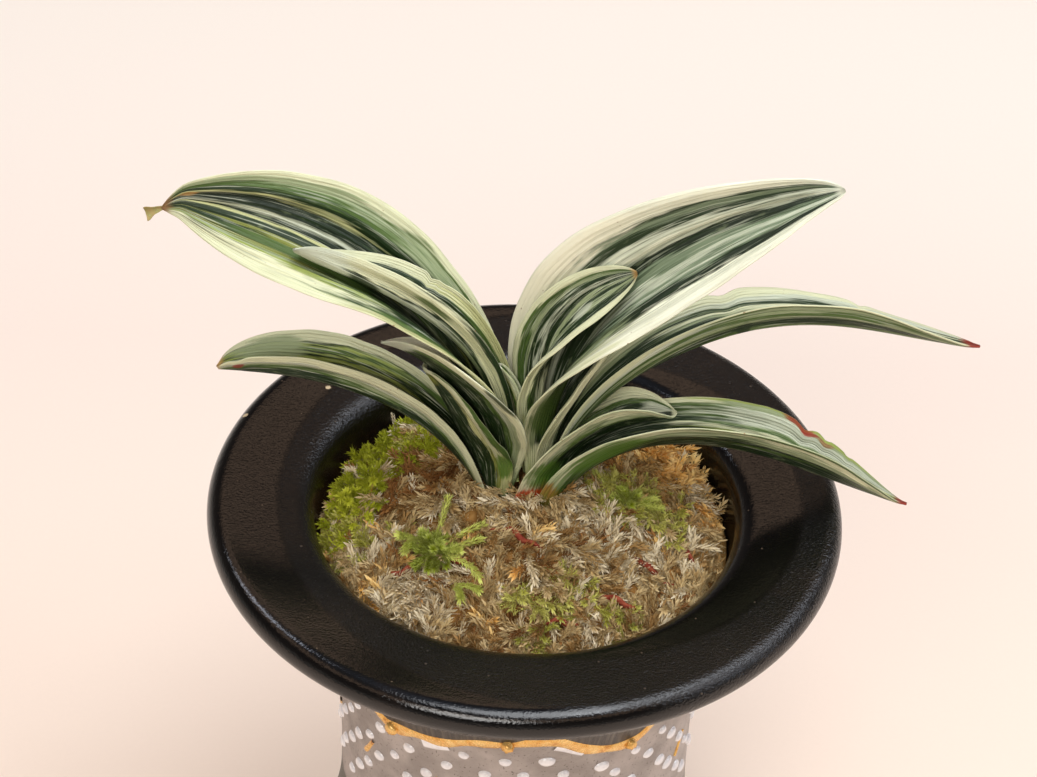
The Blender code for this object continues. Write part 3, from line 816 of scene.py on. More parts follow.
BLADES = (
    Blade(
        name="leaf_left_1", side=-1, sheath=2.804, foot=4.2, start=7.4, length=103.2, rise=(80, 56, 30, 1),
        swing=6, near=14.2, far=14.3, near_fold=(90, 26, 23, 3), far_fold=(90, 19, 40, 37), roll=(-15, -58),
        widest=0.62, narrow=0.3, taper=0.8, rows=20, halves=6, corrugation=0.34, hook=2.6,
        finish=LeafFinish(
            inner=Stripes("cream -88 mid -82 bloom -66 dark -48 mid -40 deep -30 olive -24 dark -6 mid 5 deep "
                          "38 mid 44 dark 70 mid 78 straw",
                          "cream -90 bloom -77 mid -62 dark -52 straw -47 deep -21 frost -13 deep -5 straw "
                          "3 dark 17 olive 27 dark 40 olive 50 bloom 58 lime 66 cream"),
            outer=Stripes(BACK_LOW, BACK_HIGH),
            patches=(Patch(0.95, -0.4, (0.02, 0.12), Paint.AMBER), Patch(0.72, 0.36, (0.16, 0.07), Paint.MID),
                     Patch(0.55, 0.5, (0.12, 0.09), Paint.MID)),
            tip_start=0.982, seed=1.0, change=0.56, strokes=0.6)),
    Blade(
        name="leaf_left_2", side=-1, sheath=1.606, foot=3.1, start=7.7, length=79.0, rise=(78, 92, 4, 39),
        swing=-7, near=7.9, far=8.5, near_fold=(90, 81, 73, 66), far_fold=(90, 93, 64, 45), roll=(-21, 57),
        widest=0.62, narrow=0.3, taper=0.52,
        finish=LeafFinish(
            inner=Stripes("straw -78 mid -60 dark -20 olive -12 dark 40 mid 60 cream",
                          "cream -76 dark -60 bloom -45 dark -20 lime -10 dark 40 bloom 55 cream"),
            outer=Stripes("cream -70 mid -40 dark 28 bloom 40 dark 50 cream 84 dark",
                          "ivory -70 bloom -40 dark 24 frost 44 deep 50 cream"),
            patches=(Patch(0.62, 0.72, (0.06, 0.16), Paint.MID, Face.OUTER),
                     Patch(0.35, -0.95, (0.07, 0.1), Paint.STRAW),
                     Patch(0.95, 0.2, (0.1, 1.4), Paint.FROST, Face.OUTER),
                     Patch(0.8, 0.3, (0.05, 0.12), Paint.DARK, Face.OUTER)),
            tip=Paint.FROST, tip_start=0.97, seed=5.0, change=0.54),
        notches=(Notch(-1, 0.63, 0.1, 0.012), Notch(-1, 0.6, 0.05, 0.02))),
    Blade(
        name="leaf_left_3", side=-1, sheath=4.134, foot=5.3, start=3.2, length=49.7, rise=(76, 72, 65, 18),
        swing=-7, near=15.2, far=8.9, near_fold=(90, 57, 21, 25), far_fold=(90, 43, 25, 20), roll=(-5, 34),
        widest=0.55, narrow=0.3, taper=0.78,
        finish=LeafFinish(
            inner=Stripes("cream -70 frost -30 dark -10 bloom 40 ivory",
                          "milk -50 ivory -16 dark 0 frost 40 milk"),
            outer=Stripes("cream -70 mid -30 dark 60 mid 72 bloom 86 cream",
                          "bloom -60 mid -30 bloom -10 dark 58 mid 70 frost 86 cream"),
            patches=(Patch(0.88, 0.0, (0.03, 0.3), Paint.AMBER),
                     Patch(0.95, 0.3, (0.06, 1.2), Paint.FROST, Face.OUTER),
                     Patch(0.58, 1.0, (0.09, 0.06), Paint.DARK, Face.OUTER)),
            tip=Paint.FROST, base=Paint.FRESH, base_end=0.22, seed=9.0)),
    Blade(
        name="leaf_left_4", side=-1, sheath=5.688, foot=6.7, start=-0.1, length=39.5, rise=(76, 57, 76, 59),
        swing=-3, near=11.3, far=8.9, near_fold=(90, 57, 41, 48), far_fold=(90, 60, 42, 32), roll=(-1, 6),
        widest=0.42, narrow=0.49, taper=0.5,
        finish=LeafFinish(
            inner=Stripes("cream -50 mid -20 dark 50 cream", "cream -60 dark 30 bloom 60 cream"),
            outer=Stripes("mid -50 dark -20 mid 0 dark 60 olive 70 straw 94 dark",
                          "bloom -50 mid -10 bloom 0 dark 60 straw 70 cream 92 mid"),
            patches=(Patch(0.32, 0.84, (0.09, 0.17), Paint.FRESH, Face.OUTER),
                     Patch(0.94, 0.2, (0.05, 0.4), Paint.OLIVE, Face.OUTER)),
            tip=Paint.CREAM, base=Paint.MID, base_end=0.24, seed=13.0)),
    Blade(
        name="leaf_left_5", side=-1, sheath=5.525, foot=8.2, start=-3.0, length=72.5, rise=(83, 36, 5, -5),
        swing=6, near=9.3, far=10.5, near_fold=(90, 71, 68, 59), far_fold=(90, 83, 53, 44), roll=(14, 9),
        widest=0.67, narrow=0.39, taper=0.48, rows=20, halves=6,
        finish=LeafFinish(
            inner=Stripes("cream -85 mid -70 dark -30 mid -20 dark 50 cream",
                          "cream -78 dark -74 lime -66 mid -60 lime -54 dark -48 lime -40 dark -36 bloom "
                          "-28 dark -10 mid 20 dark 60 cream"),
            outer=Stripes("cream -60 bloom -20 mid 10 dark 56 mid 64 bloom 74 cream",
                          "cream -60 bloom -10 frost 8 mid 20 dark 50 mid 60 bloom 72 frost 82 cream"),
            patches=(Patch(0.93, 0.7, (0.018, 0.14), Paint.RUSSET, Face.OUTER),
                     Patch(0.86, -0.6, (0.1, 0.3), Paint.BLOOM)),
            tip=Paint.AMBER, tip_start=0.988, seed=17.0, strokes=0.8),
        notches=(Notch(1, 0.93, 0.12, 0.02),)),
    Blade(
        name="leaf_right_1", side=1, sheath=3.206, foot=2.6, start=5.1, length=103.4, rise=(84, 90, 15, 23),
        swing=4, near=13.7, far=17.0, near_fold=(90, 41, -20, 47), far_fold=(90, 19, 62, 65), roll=(-60, -27),
        widest=0.46, narrow=0.3, taper=0.7, rows=20, halves=6, pleats=0.42, corrugation=0.3,
        finish=LeafFinish(
            inner=Stripes("ivory -34 frost -24 dark 10 mid 16 dark 50 bloom 60 cream",
                          "ivory -76 dark -70 blue -57 dark -47 frost -36 ivory -26 frost -18 deep -4 blue "
                          "10 frost 30 blue 38 frost 44 blue 50 deep 63 ivory"),
            outer=Stripes("cream -60 mid -40 dark 20 mid 30 dark 66 bloom 80 cream", BACK_HIGH),
            patches=(Patch(0.09, 0.5, (0.04, 0.6), Paint.CREAM, Face.OUTER),
                     Patch(0.22, 0.3, (0.07, 0.7), Paint.MID, Face.OUTER),
                     Patch(0.34, -0.86, (0.26, 0.3), Paint.MILK)),
            tip=Paint.IVORY, tip_start=0.985, seed=21.0, change=0.46, strokes=0.55)),
    Blade(
        name="leaf_right_2", side=1, sheath=2.016, foot=1.7, start=8.8, length=59.8, rise=(81, 112, 64, 25),
        swing=0, near=8.2, far=8.1, near_fold=(90, 79, 34, -9), far_fold=(90, 50, 53, 19), roll=(-30, -46),
        widest=0.53, narrow=0.3, taper=0.64,
        finish=LeafFinish(
            inner=Stripes("cream -84 mid -60 dark -30 cream -22 dark 20 bloom 30 dark 78 cream",
                          "cream -82 mid -68 bloom -52 dark -36 frost -26 dark -4 bloom 10 dark 26 bloom "
                          "50 dark 76 cream"),
            outer=Stripes("cream -50 straw 0 cream 50 mid 70 cream",
                          "cream -60 dark -10 bloom 10 dark 70 cream"),
            patches=(Patch(0.76, 0.3, (0.05, 0.2), Paint.FROST),
                     Patch(0.28, 0.3, (0.05, 0.5), Paint.STRAW, Face.OUTER)),
            tip=Paint.AMBER, tip_start=0.988, seed=25.0, strokes=0.95)),
    Blade(
        name="leaf_right_3", side=1, sheath=4.679, foot=3.6, start=2.9, length=51.4, rise=(88, 70, 72, 48),
        swing=-1, near=8.3, far=7.1, near_fold=(90, 23, 19, 32), far_fold=(90, 30, 31, 31), roll=(-12, 2),
        widest=0.52, narrow=0.33, taper=0.9,
        finish=LeafFinish(
            inner=Stripes("cream -60 dark -10 olive 10 dark 50 cream",
                          "cream -70 olive -50 dark -10 straw 0 dark 50 cream"),
            outer=Stripes("cream -40 bloom 0 dark 30 bloom 40 cream",
                          "cream -40 bloom 0 dark 25 frost 36 cream"),
            tip=Paint.IVORY, seed=29.0)),
    Blade(
        name="leaf_right_4", side=1, sheath=4.212, foot=5.0, start=1.6, length=121.4, rise=(91, 35, -48, -18),
        swing=20, near=8.5, far=9.6, near_fold=(90, 64, 47, 29), far_fold=(90, 67, 14, 22), roll=(40, 6),
        widest=0.52, narrow=0.3, taper=0.75, rows=20, halves=6,
        finish=LeafFinish(
            inner=Stripes("cream -70 bloom -60 dark -30 frost -22 dark 40 cream",
                          "cream -78 frost -68 dark -54 cream -46 bloom -40 dark -10 bloom 20 dark 60 cream"),
            outer=Stripes("cream -40 bloom 0 mid 10 dark 30 bloom 38 mid 56 bloom 68 mid 78 frost 86 cream",
                          "cream -60 frost 0 bloom 12 mid 22 dark 40 mid 54 bloom 64 mid 76 bloom 86 mid "
                          "93 cream"),
            patches=(Patch(0.5, -0.1, (0.02, 0.3), Paint.MID),
                     Patch(0.51, 0.3, (0.012, 0.3), Paint.DARK, Face.OUTER)),
            tip=Paint.RUSSET, tip_start=0.965, seed=33.0),
        notches=(Notch(-1, 0.76, 0.14, 0.012), Notch(-1, 0.5, 0.12, 0.02))),
    Blade(
        name="leaf_right_5", side=1, sheath=5.928, foot=6.3, start=0.4, length=38.9, rise=(99, 49, 33, 5),
        swing=1, near=13.2, far=7.5, near_fold=(90, 13, 73, 56), far_fold=(90, 28, 50, 38), roll=(6, -11),
        widest=0.72, narrow=0.88, taper=0.91,
        finish=LeafFinish(
            inner=Stripes("cream -60 dark 40 mid 60 cream",
                          "cream -72 mid -50 dark -20 olive -10 deep 50 bloom 70 cream"),
            outer=Stripes("cream -50 bloom -5 dark 56 mid 68 bloom 78 cream",
                          "cream -50 bloom -5 dark 58 mid 68 bloom 76 cream 94 bloom"),
            patches=(Patch(0.27, 0.6, (0.09, 0.35), Paint.FRESH, Face.OUTER),
                     Patch(0.9, -0.3, (0.08, 0.3), Paint.FROST),
                     Patch(0.13, 0.8, (0.05, 0.45), Paint.EMBER, Face.OUTER)),
            base=Paint.EMBER, base_end=0.24, tip=Paint.CREAM, seed=37.0)),
    Blade(
        name="leaf_right_6", side=1, sheath=6.876, foot=7.6, start=-2.3, length=89.7, rise=(94, -20, -39, -24),
        swing=6, near=12.3, far=9.4, near_fold=(90, 29, 70, 38), far_fold=(90, 59, 70, 30), roll=(0, 10),
        widest=0.56, narrow=0.8, taper=0.97, rows=20, halves=6,
        finish=LeafFinish(
            inner=Stripes("cream -90 mid -60 dark 30 mid 60 cream",
                          "lime -94 bloom -84 frost -54 bloom -50 mid -44 cream -34 lime -26 mid 20 dark "
                          "70 cream"),
            outer=Stripes("cream -40 bloom 6 dark 40 mid 50 dark 70 bloom 80 cream",
                          "cream -50 frost 0 bloom 10 dark 34 mid 46 dark 68 bloom 77 cream 90 mid"),
            patches=(Patch(0.665, -0.95, (0.045, 0.08), Paint.RUSSET),
                     Patch(0.7, -0.88, (0.03, 0.05), Paint.RUSSET),
                     Patch(0.75, -0.86, (0.025, 0.06), Paint.TAN),
                     Patch(0.24, 0.7, (0.09, 0.3), Paint.FRESH, Face.OUTER),
                     Patch(0.08, 1.0, (0.035, 0.4), Paint.EMBER, Face.OUTER)),
            base=Paint.FRESH, base_end=0.2, tip=Paint.RUSSET, tip_start=0.968, seed=41.0),
        notches=(Notch(-1, 0.69, 0.13, 0.02), Notch(-1, 0.75, 0.08, 0.014), Notch(-1, 0.82, 0.07, 0.01))),
    Blade(
        name="bud_leaf", side=-1, sheath=0.5, foot=1.2, start=9.9, length=27.8, rise=(94, 81, 82, 56), swing=1,
        near=2.2, far=2.2, near_fold=(90, 100, 98, 81), far_fold=(90, 100, 100, 82), roll=(-8, 8), widest=0.64,
        narrow=0.39, taper=0.4, keel_radius=1.0, pleats=0.0, slot="young_leaf",
        finish=LeafFinish(
            inner=Stripes("straw -50 fresh 40 straw", "cream -60 mid 50 lime"),
            outer=Stripes("cream -60 straw -20 fresh 30 straw",
                          "cream -60 fresh -20 dark 10 fresh 30 straw 60 cream"),
            tip=Paint.IVORY, base=Paint.STRAW, seed=45.0)),
)


@dataclass(frozen=True)
class DryTip:
    """The withered, curled flap at the end of the longest left leaf."""

    leaf: str = "leaf_left_1"
    length: float = 3.4
    way: tuple[float, float, float] = (-0.95, -0.1, -0.28)
    upright: tuple[float, float, float] = (-0.3, 0.25, 0.92)
    halves: tuple[float, float] = (0.55, 1.75)
    curl: float = 1.2
    thickness: float = 0.3

    def build(self) -> bpy.types.Object:
        """Makes the flap, a thin closed skin that starts inside the leaf's tip."""
        sheet = next(blade for blade in BLADES if blade.name == self.leaf).sheet()
        run, across = np.linspace(-0.35, 1.0, 18), np.linspace(-1.0, 1.0, 11)
        way, upright = unit(np.array(self.way)), unit(np.array(self.upright))
        facing = unit(np.cross(upright, way))
        half = self.halves[0] + (self.halves[1] - self.halves[0]) * ease(np.clip(run, 0.0, 1.0))
        half = half * (1.0 + 0.12 * np.sin(run * 9.0))
        middle = sheet[-1].mean(axis=0) + way * (self.length * run)[:, None]
        bow = (np.sin(across * self.curl) / self.curl, (1.0 - np.cos(across * self.curl)) / self.curl)
        skin = (middle[:, None] + upright * (half[:, None] * bow[0])[..., None]
                + facing * (half[:, None] * bow[1] + 0.5 * run[:, None] ** 2)[..., None])
        half_skin = facing * self.thickness / 2
        rings = np.concatenate([skin + half_skin, (skin - half_skin)[:, ::-1]], axis=1)
        return add_piece(self.leaf + "_dry_tip", rings.reshape(-1, 3), sleeve(len(run), len(across), 0),
                         self._skin(), "leaf")

    def _skin(self) -> bpy.types.Material:
        """Dead leaf: olive and tan, with brown specks."""
        bench = Bench("dry_tip_skin")
        cloud = bench.noise(bench.place(), 900.0, 3.0)
        colour = bench.ramp(cloud, [(0.3, tint(120, 84, 50)), (0.45, tint(172, 150, 98)),
                                    (0.6, tint(152, 148, 92)), (0.75, tint(206, 186, 140))])
        return bench.finish(colour, 0.6 + cloud * 0.2, bench.bump(cloud, 0.5, 0.2), Specular_IOR_Level=0.3)


@dataclass(frozen=True)
class GlazedPot:
    """A wheel-thrown pot: broad black brim, brushed neck, speckled band with slip dots, and a dark skirt."""

    brim_radius: float = 67.1
    brim_level: float = 2.1
    bead: float = 3.7
    dish: float = 0.8
    roll: float = 5.0
    mouth: float = 44.5
    well: Curve = ((44.5, -3.7), (43.4, -12.0), (40.6, -22.0), (37.2, -32.0), (35.3, -46.0), (35.0, -66.0),
                   (36.6, -86.0), (38.4, -102.0), (36.5, -110.5), (33.0, -113.5))
    outside: Curve = ((53.0, -6.6), (49.6, -9.2), (47.2, -16.0), (43.4, -27.0), (40.2, -38.0), (39.2, -52.0),
                      (38.9, -74.0), (39.6, -86.0), (42.0, -100.0), (42.2, -112.0), (39.0, -119.0))
    drain: float = 6.0
    floor: float = -113.5
    underside: float = -119.5
    foot_angles: tuple[float, ...] = (90.0, 210.0, 330.0)
    foot_radius: float = 35.0
    foot_size: tuple[float, float, float] = (11.0, 20.0, 11.0)
    dot_rows: tuple[float, ...] = (-33.0, -37.6, -42.2, -47.0, -51.8, -56.5, -61.2, -66.0)
    dots_in_row: int = 29
    pinholes: tuple[tuple[tuple[float, float, float], float], ...] = (
        ((-71.7, 22.2, 129.7), 0.75), ((-54.5, 32.8, 129.6), 0.65), ((-74.5, -18.5, 129.9), 0.7))
    steps: int = 224

    dot_grid = (7, 18)
    dot_radius = 39.2
    stroke_radius = 40.0
    stroke_columns = 7
    foot_corners = 40
    foot_sole = -128.0
    foot_scale = 0.83
    squareness = 0.55

    def build(self) -> list[bpy.types.Object]:
        """Makes the pot's pieces."""
        return [self._body(), self._feet(), self._dots(), self._slip_strokes(), self._gilt()]

    @staticmethod
    def _smooth(points: Curve, each: int) -> np.ndarray:
        """A profile with curved stretches between its points."""
        rows = np.array(points)
        return glide(rows, np.linspace(0.0, len(rows) - 1.0, (len(rows) - 1) * each + 1))

    @staticmethod
    def _arc(x: float, z: float, radius: float, start: float, end: float, count: int) -> np.ndarray:
        """Points on an arc from one angle to another, in degrees."""
        turn = np.radians(np.linspace(start, end, count))
        return np.stack([x + radius * np.cos(turn), z + radius * np.sin(turn)], axis=1)

    def wall(self, level: np.ndarray) -> np.ndarray:
        """The outer wall's radius at each level."""
        profile = self._smooth(self.outside, 8)
        return np.interp(-np.asarray(level), -profile[:, 1], profile[:, 0])

    @staticmethod
    def scallop(angle: np.ndarray) -> np.ndarray:
        """The level of the wavy line where the neck meets the band."""
        waves = 4.2 * np.cos(5.0 * (angle + math.pi / 2))
        return -33.4 + waves + 0.9 * np.sin(9.0 * angle + 1.0) + 0.5 * np.sin(17.0 * angle)

    def _body(self) -> bpy.types.Object:
        """The thrown body, in one closed skin."""
        bead = self._arc(self.brim_radius - self.bead, self.brim_level - self.bead, self.bead, 90.0, -90.0, 30)
        under = np.linspace(bead[-1], self.outside[0], 8)[1:-1]
        outer = self._smooth(self.outside, 9)
        base = np.array([(self.drain, self.underside), (self.drain, self.floor)])
        inner = self._smooth(self.well, 6)[::-1]
        roll = self._arc(self.mouth + self.roll, self.brim_level - self.dish - self.roll, self.roll,
                         180.0, 90.0, 14)[1:]
        flat = np.linspace(roll[-1], bead[0], 10)[1:-1]
        profile = np.vstack([bead, under, outer, base, inner, roll, flat])
        outside = np.concatenate([np.zeros(len(bead)), np.linspace(0.0, 1.0, len(under)),
                                  np.ones(len(outer) + 2), np.zeros(len(inner) + len(roll) + len(flat))])
        angle = np.linspace(0.0, math.tau, self.steps, endpoint=False)
        lift = 1.0 + 0.0012 * np.sin(2.0 * angle + 0.6) + 0.0006 * np.sin(5.0 * angle)
        reach = profile[:, 0][None, :] * np.minimum(lift, 1.0)[:, None]
        points = np.stack([reach * np.cos(angle)[:, None], reach * np.sin(angle)[:, None],
                           np.broadcast_to(profile[:, 1], reach.shape)], axis=2)
        count = len(profile)
        faces = tiles(self.steps, count, round_rows=True, round_columns=True)[:, ::-1]
        return add_piece("pot_body", points.reshape(-1, 3), faces, self._glaze(), "glazed_stoneware", "pot", {
            "outside": np.tile(outside, self.steps), "edge": np.repeat(self.scallop(angle), count)})

    def _feet(self) -> bpy.types.Object:
        """Three rounded feet, sunk into the base."""
        turn = np.linspace(0.0, math.tau, self.foot_corners, endpoint=False)
        square = [np.sign(wave) * np.abs(wave) ** self.squareness for wave in (np.cos(turn), np.sin(turn))]
        depth, width, height = self.foot_size
        shape = ((0.0, 0.0), (0.5, 0.0), (0.8, 0.0), (0.93, 0.03), (0.985, 0.1), (1.0, 0.2), (1.06, 0.5),
                 (1.15, 0.8), (1.2, 1.0))
        heap = Heap()
        for angle in self.foot_angles:
            spin = np.array(Matrix.Rotation(math.radians(angle), 3, "Z"))
            rings = []
            for share, rise in shape:
                size = self.foot_scale * share
                ring = np.stack([self.foot_radius + square[0] * depth / 2 * size, square[1] * width / 2 * size,
                                 np.full(len(turn), self.foot_sole + rise * height)], axis=1)
                rings.append(ring @ spin.T)
            heap.add(np.vstack(rings), tiles(len(shape), len(turn), round_columns=True))
        return add_piece("pot_feet", *heap.merged(), self._glaze_under(), "glazed_stoneware", "pot")

    def _on_wall(self, angle: np.ndarray, level: np.ndarray, lift: np.ndarray) -> np.ndarray:
        """Points on the outer wall, lifted off it."""
        reach = self.wall(level) + lift
        return np.stack([reach * np.cos(angle), reach * np.sin(angle), level], axis=-1)

    def _dots(self) -> bpy.types.Object:
        """Raised white slip dots in staggered rows on the band."""
        draw = np.random.default_rng(5)
        rings, corners = self.dot_grid
        turn, ring = np.meshgrid(np.linspace(0.0, math.tau, corners, endpoint=False),
                                 np.linspace(1.0, 0.0, rings))
        faces = tiles(rings, corners, round_columns=True)
        dome = 0.82 * np.sqrt(np.maximum(1.0 - ring**2.4, 0.0)) - 0.06
        pitch = math.tau / self.dots_in_row
        heap = Heap()
        for row, level in enumerate(self.dot_rows):
            for i in range(self.dots_in_row):
                angle = (i + 0.5 * (row % 2)) * pitch + draw.normal(0.0, 0.05) * pitch
                place = level + draw.normal(0.0, 0.35)
                if place > self.scallop(np.array(angle)) - 3.6:
                    continue
                size = draw.uniform(1.05, 1.5)
                tilt, length = draw.uniform(-0.6, 0.6), draw.uniform(1.0, 1.35)
                x, y = np.cos(turn) * ring * size * length, np.sin(turn) * ring * size
                x, y = x * math.cos(tilt) - y * math.sin(tilt), x * math.sin(tilt) + y * math.cos(tilt)
                heap.add(self._on_wall(angle + x / self.dot_radius, place + y, dome).reshape(-1, 3), faces)
        return add_piece("slip_dots", *heap.merged(), self._slip(), "glazed_stoneware", "pot")

    def _stroke(self, middle: Callable[[np.ndarray], tuple[np.ndarray, np.ndarray]], half: float, lift: float,
                along: np.ndarray, draw: np.random.Generator) -> tuple[np.ndarray, np.ndarray]:
        """A ragged brush stroke on the wall.

        Args:
            middle: gives angle and level of the stroke's middle along it.
            half: half its width.
            lift: how proud its middle stands.
            along: places along it.
            draw: random numbers.

        Returns:
            Its points and faces.
        """
        across = np.linspace(-1.0, 1.0, self.stroke_columns)
        angle, level = middle(along)
        share, busy = np.linspace(0.0, 1.0, len(along)), len(along) * 0.22
        seed = wander(share, draw, 6, busy * 0.2, busy)
        other = wander(share, draw, 6, busy * 0.2, busy)
        upper, lower = half * (1.0 + 0.35 * seed), half * (1.0 + 0.35 * other)
        spread = np.where(across[None, :] > 0, upper[:, None], lower[:, None]) * across[None, :]
        run_a, run_l = np.gradient(angle) * self.stroke_radius, np.gradient(level)
        size = np.hypot(run_a, run_l) + 1e-9
        angles = angle[:, None] - spread * (run_l / size)[:, None] / self.stroke_radius
        levels = level[:, None] + spread * (run_a / size)[:, None]
        proud = lift * (1.0 - across[None, :] ** 4) * (1.0 + 0.25 * seed[:, None]) - 0.04
        return self._on_wall(angles, levels, proud).reshape(-1, 3), tiles(len(along), self.stroke_columns)

    def _slip_strokes(self) -> bpy.types.Object:
        """White slivers of slip just under the wavy line."""
        draw = np.random.default_rng(8)
        heap = Heap()
        for i in range(9):
            start = -math.pi / 2 - 0.5 + i * 0.7
            reach = draw.uniform(0.12, 0.22)
            heap.add(*self._stroke(lambda s, a=start, r=reach: (a + s * r, self.scallop(a + s * r) - 2.0),
                                   draw.uniform(0.9, 1.3), 0.3, np.linspace(0.0, 1.0, 12), draw))
        return add_piece("slip_slivers", *heap.merged(), self._slip(), "glazed_stoneware", "pot")

    def _gilt(self) -> bpy.types.Object:
        """The gilt line along the scallops, its beads, and short gilt strokes among the dots."""
        draw = np.random.default_rng(11)
        heap = Heap()
        around = np.linspace(0.0, math.tau, 721)
        heap.add(*self._stroke(lambda s: (s, self.scallop(s)), 1.5, 0.42, around, draw))
        for i in range(15):
            a, level = i * 0.42 + draw.uniform(-0.06, 0.06), draw.uniform(-58.0, -48.0)
            lean = draw.uniform(0.5, 1.1)
            heap.add(*self._stroke(
                lambda s, a=a, b=level, c=lean: (a + s * 0.09 * c, b + 3.6 * s + 0.4 * np.sin(3 * s)),
                0.62, 0.4, np.linspace(-0.6, 0.6, 16), draw))
        rows, corners = 10, 16
        turn, rise = np.meshgrid(np.linspace(0.0, math.tau, corners, endpoint=False),
                                 np.linspace(0.0, math.pi, rows))
        ball = np.stack([np.sin(rise) * np.cos(turn), np.sin(rise) * np.sin(turn), np.cos(rise)], axis=-1)
        ball = ball.reshape(-1, 3)
        for i in range(10):
            a = -math.pi / 2 + math.pi / 5 + i * math.pi / 5 + draw.uniform(-0.07, 0.07)
            lumps = 0.16 * np.sin(7 * ball[:, 1:2] + i) * np.sin(6 * ball[:, :1])
            lumpy = ball * (1.0 + lumps + draw.normal(0, 0.05, (len(ball), 1)))
            level = self.scallop(np.array(a)) + draw.uniform(-0.5, 0.5)
            middle = self._on_wall(np.array(a), level, np.array(0.35))
            heap.add(middle + lumpy * draw.uniform(1.1, 1.8), tiles(rows, corners, round_columns=True))
        return add_piece("gilt_line", *heap.merged(), self._gold(), "glazed_stoneware", "pot")

    def _glaze(self) -> bpy.types.Material:
        """Black brim glaze, brushed neck, speckled band and olive skirt, in one skin."""
        bench = Bench("pot_glazes")
        place, level = bench.place(), bench.height()
        outside, edge = bench.measure("outside"), bench.measure("edge")
        x = bench.node("ShaderNodeSeparateXYZ", None, {0: place}, 0)
        y = Signal(bench, x.socket.node.outputs[1])
        cloud = bench.noise(place, 60.0, 4.0)
        grain = bench.noise(place, 3000.0, 2.0)
        specks = bench.voronoi(place, 240.0)
        around = bench.maths("ARCTAN2", y, x + 0.0104)
        brush = bench.noise(bench.trio(around * 46.0, level * 0.05, 0.0), 1.0, 4.0, 0.7)
        above = bench.step(level - edge, -0.25, 0.25)
        below = bench.step(level + (cloud - 0.5) * 14.0, -74.0, -75.5)
        foot = bench.step(level + (cloud - 0.5) * 3.0, -115.5, -116.3)
        shell = bench.blend(self._band(bench, place), self._neck(bench, brush), above)
        shell = bench.blend(shell, self._skirt(bench, cloud), below)
        shell = bench.blend(shell, bench.ramp(cloud, [(0.3, tint(74, 62, 52)), (0.7, tint(104, 88, 72))]), foot)
        under = bench.step(outside + (cloud - 0.5) * 0.3, 0.35, 0.8)
        colour = bench.blend(self._brim(bench, place, cloud, grain, specks), shell, under)
        reach = bench.length(bench.trio(x, y))
        matte = (bench.step(reach, self.brim_radius - 3.6, self.brim_radius - 5.4)
                 * bench.step(reach, self.mouth + 2.6, self.mouth + 4.4))
        rough = (0.055 + matte * 0.17 + (grain - 0.4) * 0.16 + under * (0.34 - below * 0.16 + foot * 0.4)
                 + bench.step(specks, 0.1, 0.04) * 0.2)
        relief = (bench.noise(place, 1900.0, 2.0, 0.5) * (0.7 + matte * 2.0) + grain * 0.35
                  + under * brush * above * 2.2 + bench.noise(place, 620.0, 2.0) * 0.5)
        return bench.finish(colour, rough, bench.bump(relief, 0.6, 0.12), Specular_IOR_Level=0.55)

    def _brim(self, bench: Bench, place: Signal, cloud: Signal, grain: Signal, specks: Signal) -> Signal:
        """Colour of the black glaze: brownish clouds, pale specks and a few pinholes.

        Args:
            bench: where the material is put together.
            place: the place on the pot.
            cloud: broad noise.
            grain: fine noise.
            specks: distance to the nearest speck.

        Returns:
            The colour.
        """
        black = bench.ramp(cloud, [(0.35, tint(6, 5, 5)), (0.62, tint(12, 10, 9)), (0.75, tint(24, 18, 15))])
        black = bench.shade(black, 0.3 + grain * 1.4)
        black = bench.blend(black, tint(110, 92, 74), bench.step(specks, 0.06, 0.03) * 0.5)
        for spot, radius in self.pinholes:
            away = bench.node("ShaderNodeVectorMath", {"operation": "DISTANCE"},
                              {0: place, 1: tuple(c * MM for c in spot)}, "Value") * 1000.0
            shown = bench.step(away + grain * 0.7, radius + 0.4, radius + 0.1)
            black = bench.blend(black, tint(206, 186, 150), shown)
        return black

    @staticmethod
    def _neck(bench: Bench, brush: Signal) -> Signal:
        """Colour of the brushed dark neck."""
        return bench.ramp(brush, [(0.3, tint(28, 25, 23)), (0.5, tint(54, 49, 44)), (0.66, tint(90, 83, 74))])

    @staticmethod
    def _band(bench: Bench, place: Signal) -> Signal:
        """Colour of the speckled grey band."""
        band = bench.ramp(bench.noise(place, 110.0, 4.0), [(0.35, tint(148, 139, 133)),
                                                           (0.65, tint(182, 172, 166))])
        fleck = bench.step(bench.noise(place, 1500.0, 2.0, 0.6), 0.62, 0.7)
        return bench.blend(band, tint(84, 76, 68), fleck * 0.8)

    @staticmethod
    def _skirt(bench: Bench, cloud: Signal) -> Signal:
        """Colour of the dark olive skirt."""
        return bench.ramp(cloud, [(0.35, tint(38, 38, 30)), (0.6, tint(66, 66, 48)), (0.72, tint(92, 86, 60))])

    def _glaze_under(self) -> bpy.types.Material:
        """Bare clay of the feet, smeared with glaze at the top."""
        bench = Bench("bare_clay")
        cloud = bench.noise(bench.place(), 160.0, 4.0)
        clay = bench.ramp(cloud, [(0.3, tint(74, 62, 52)), (0.7, tint(112, 94, 76))])
        smear = bench.step(bench.height() + (cloud - 0.5) * 9.0, -121.5, -120.0)
        colour = bench.blend(clay, tint(44, 44, 34), smear)
        grain = bench.noise(bench.place(), 1400.0)
        return bench.finish(colour, 0.75 - smear * 0.5, bench.bump(grain, 0.5, 0.15))

    def _slip(self) -> bpy.types.Material:
        """Glossy white slip with a faint grey mottle."""
        bench = Bench("white_slip")
        cloud = bench.noise(bench.place(), 420.0, 3.0)
        colour = bench.ramp(cloud, [(0.3, tint(232, 230, 234)), (0.6, tint(253, 252, 254))])
        return bench.finish(colour, 0.06 + cloud * 0.1, bench.bump(cloud, 0.2, 0.1), Specular_IOR_Level=0.8)

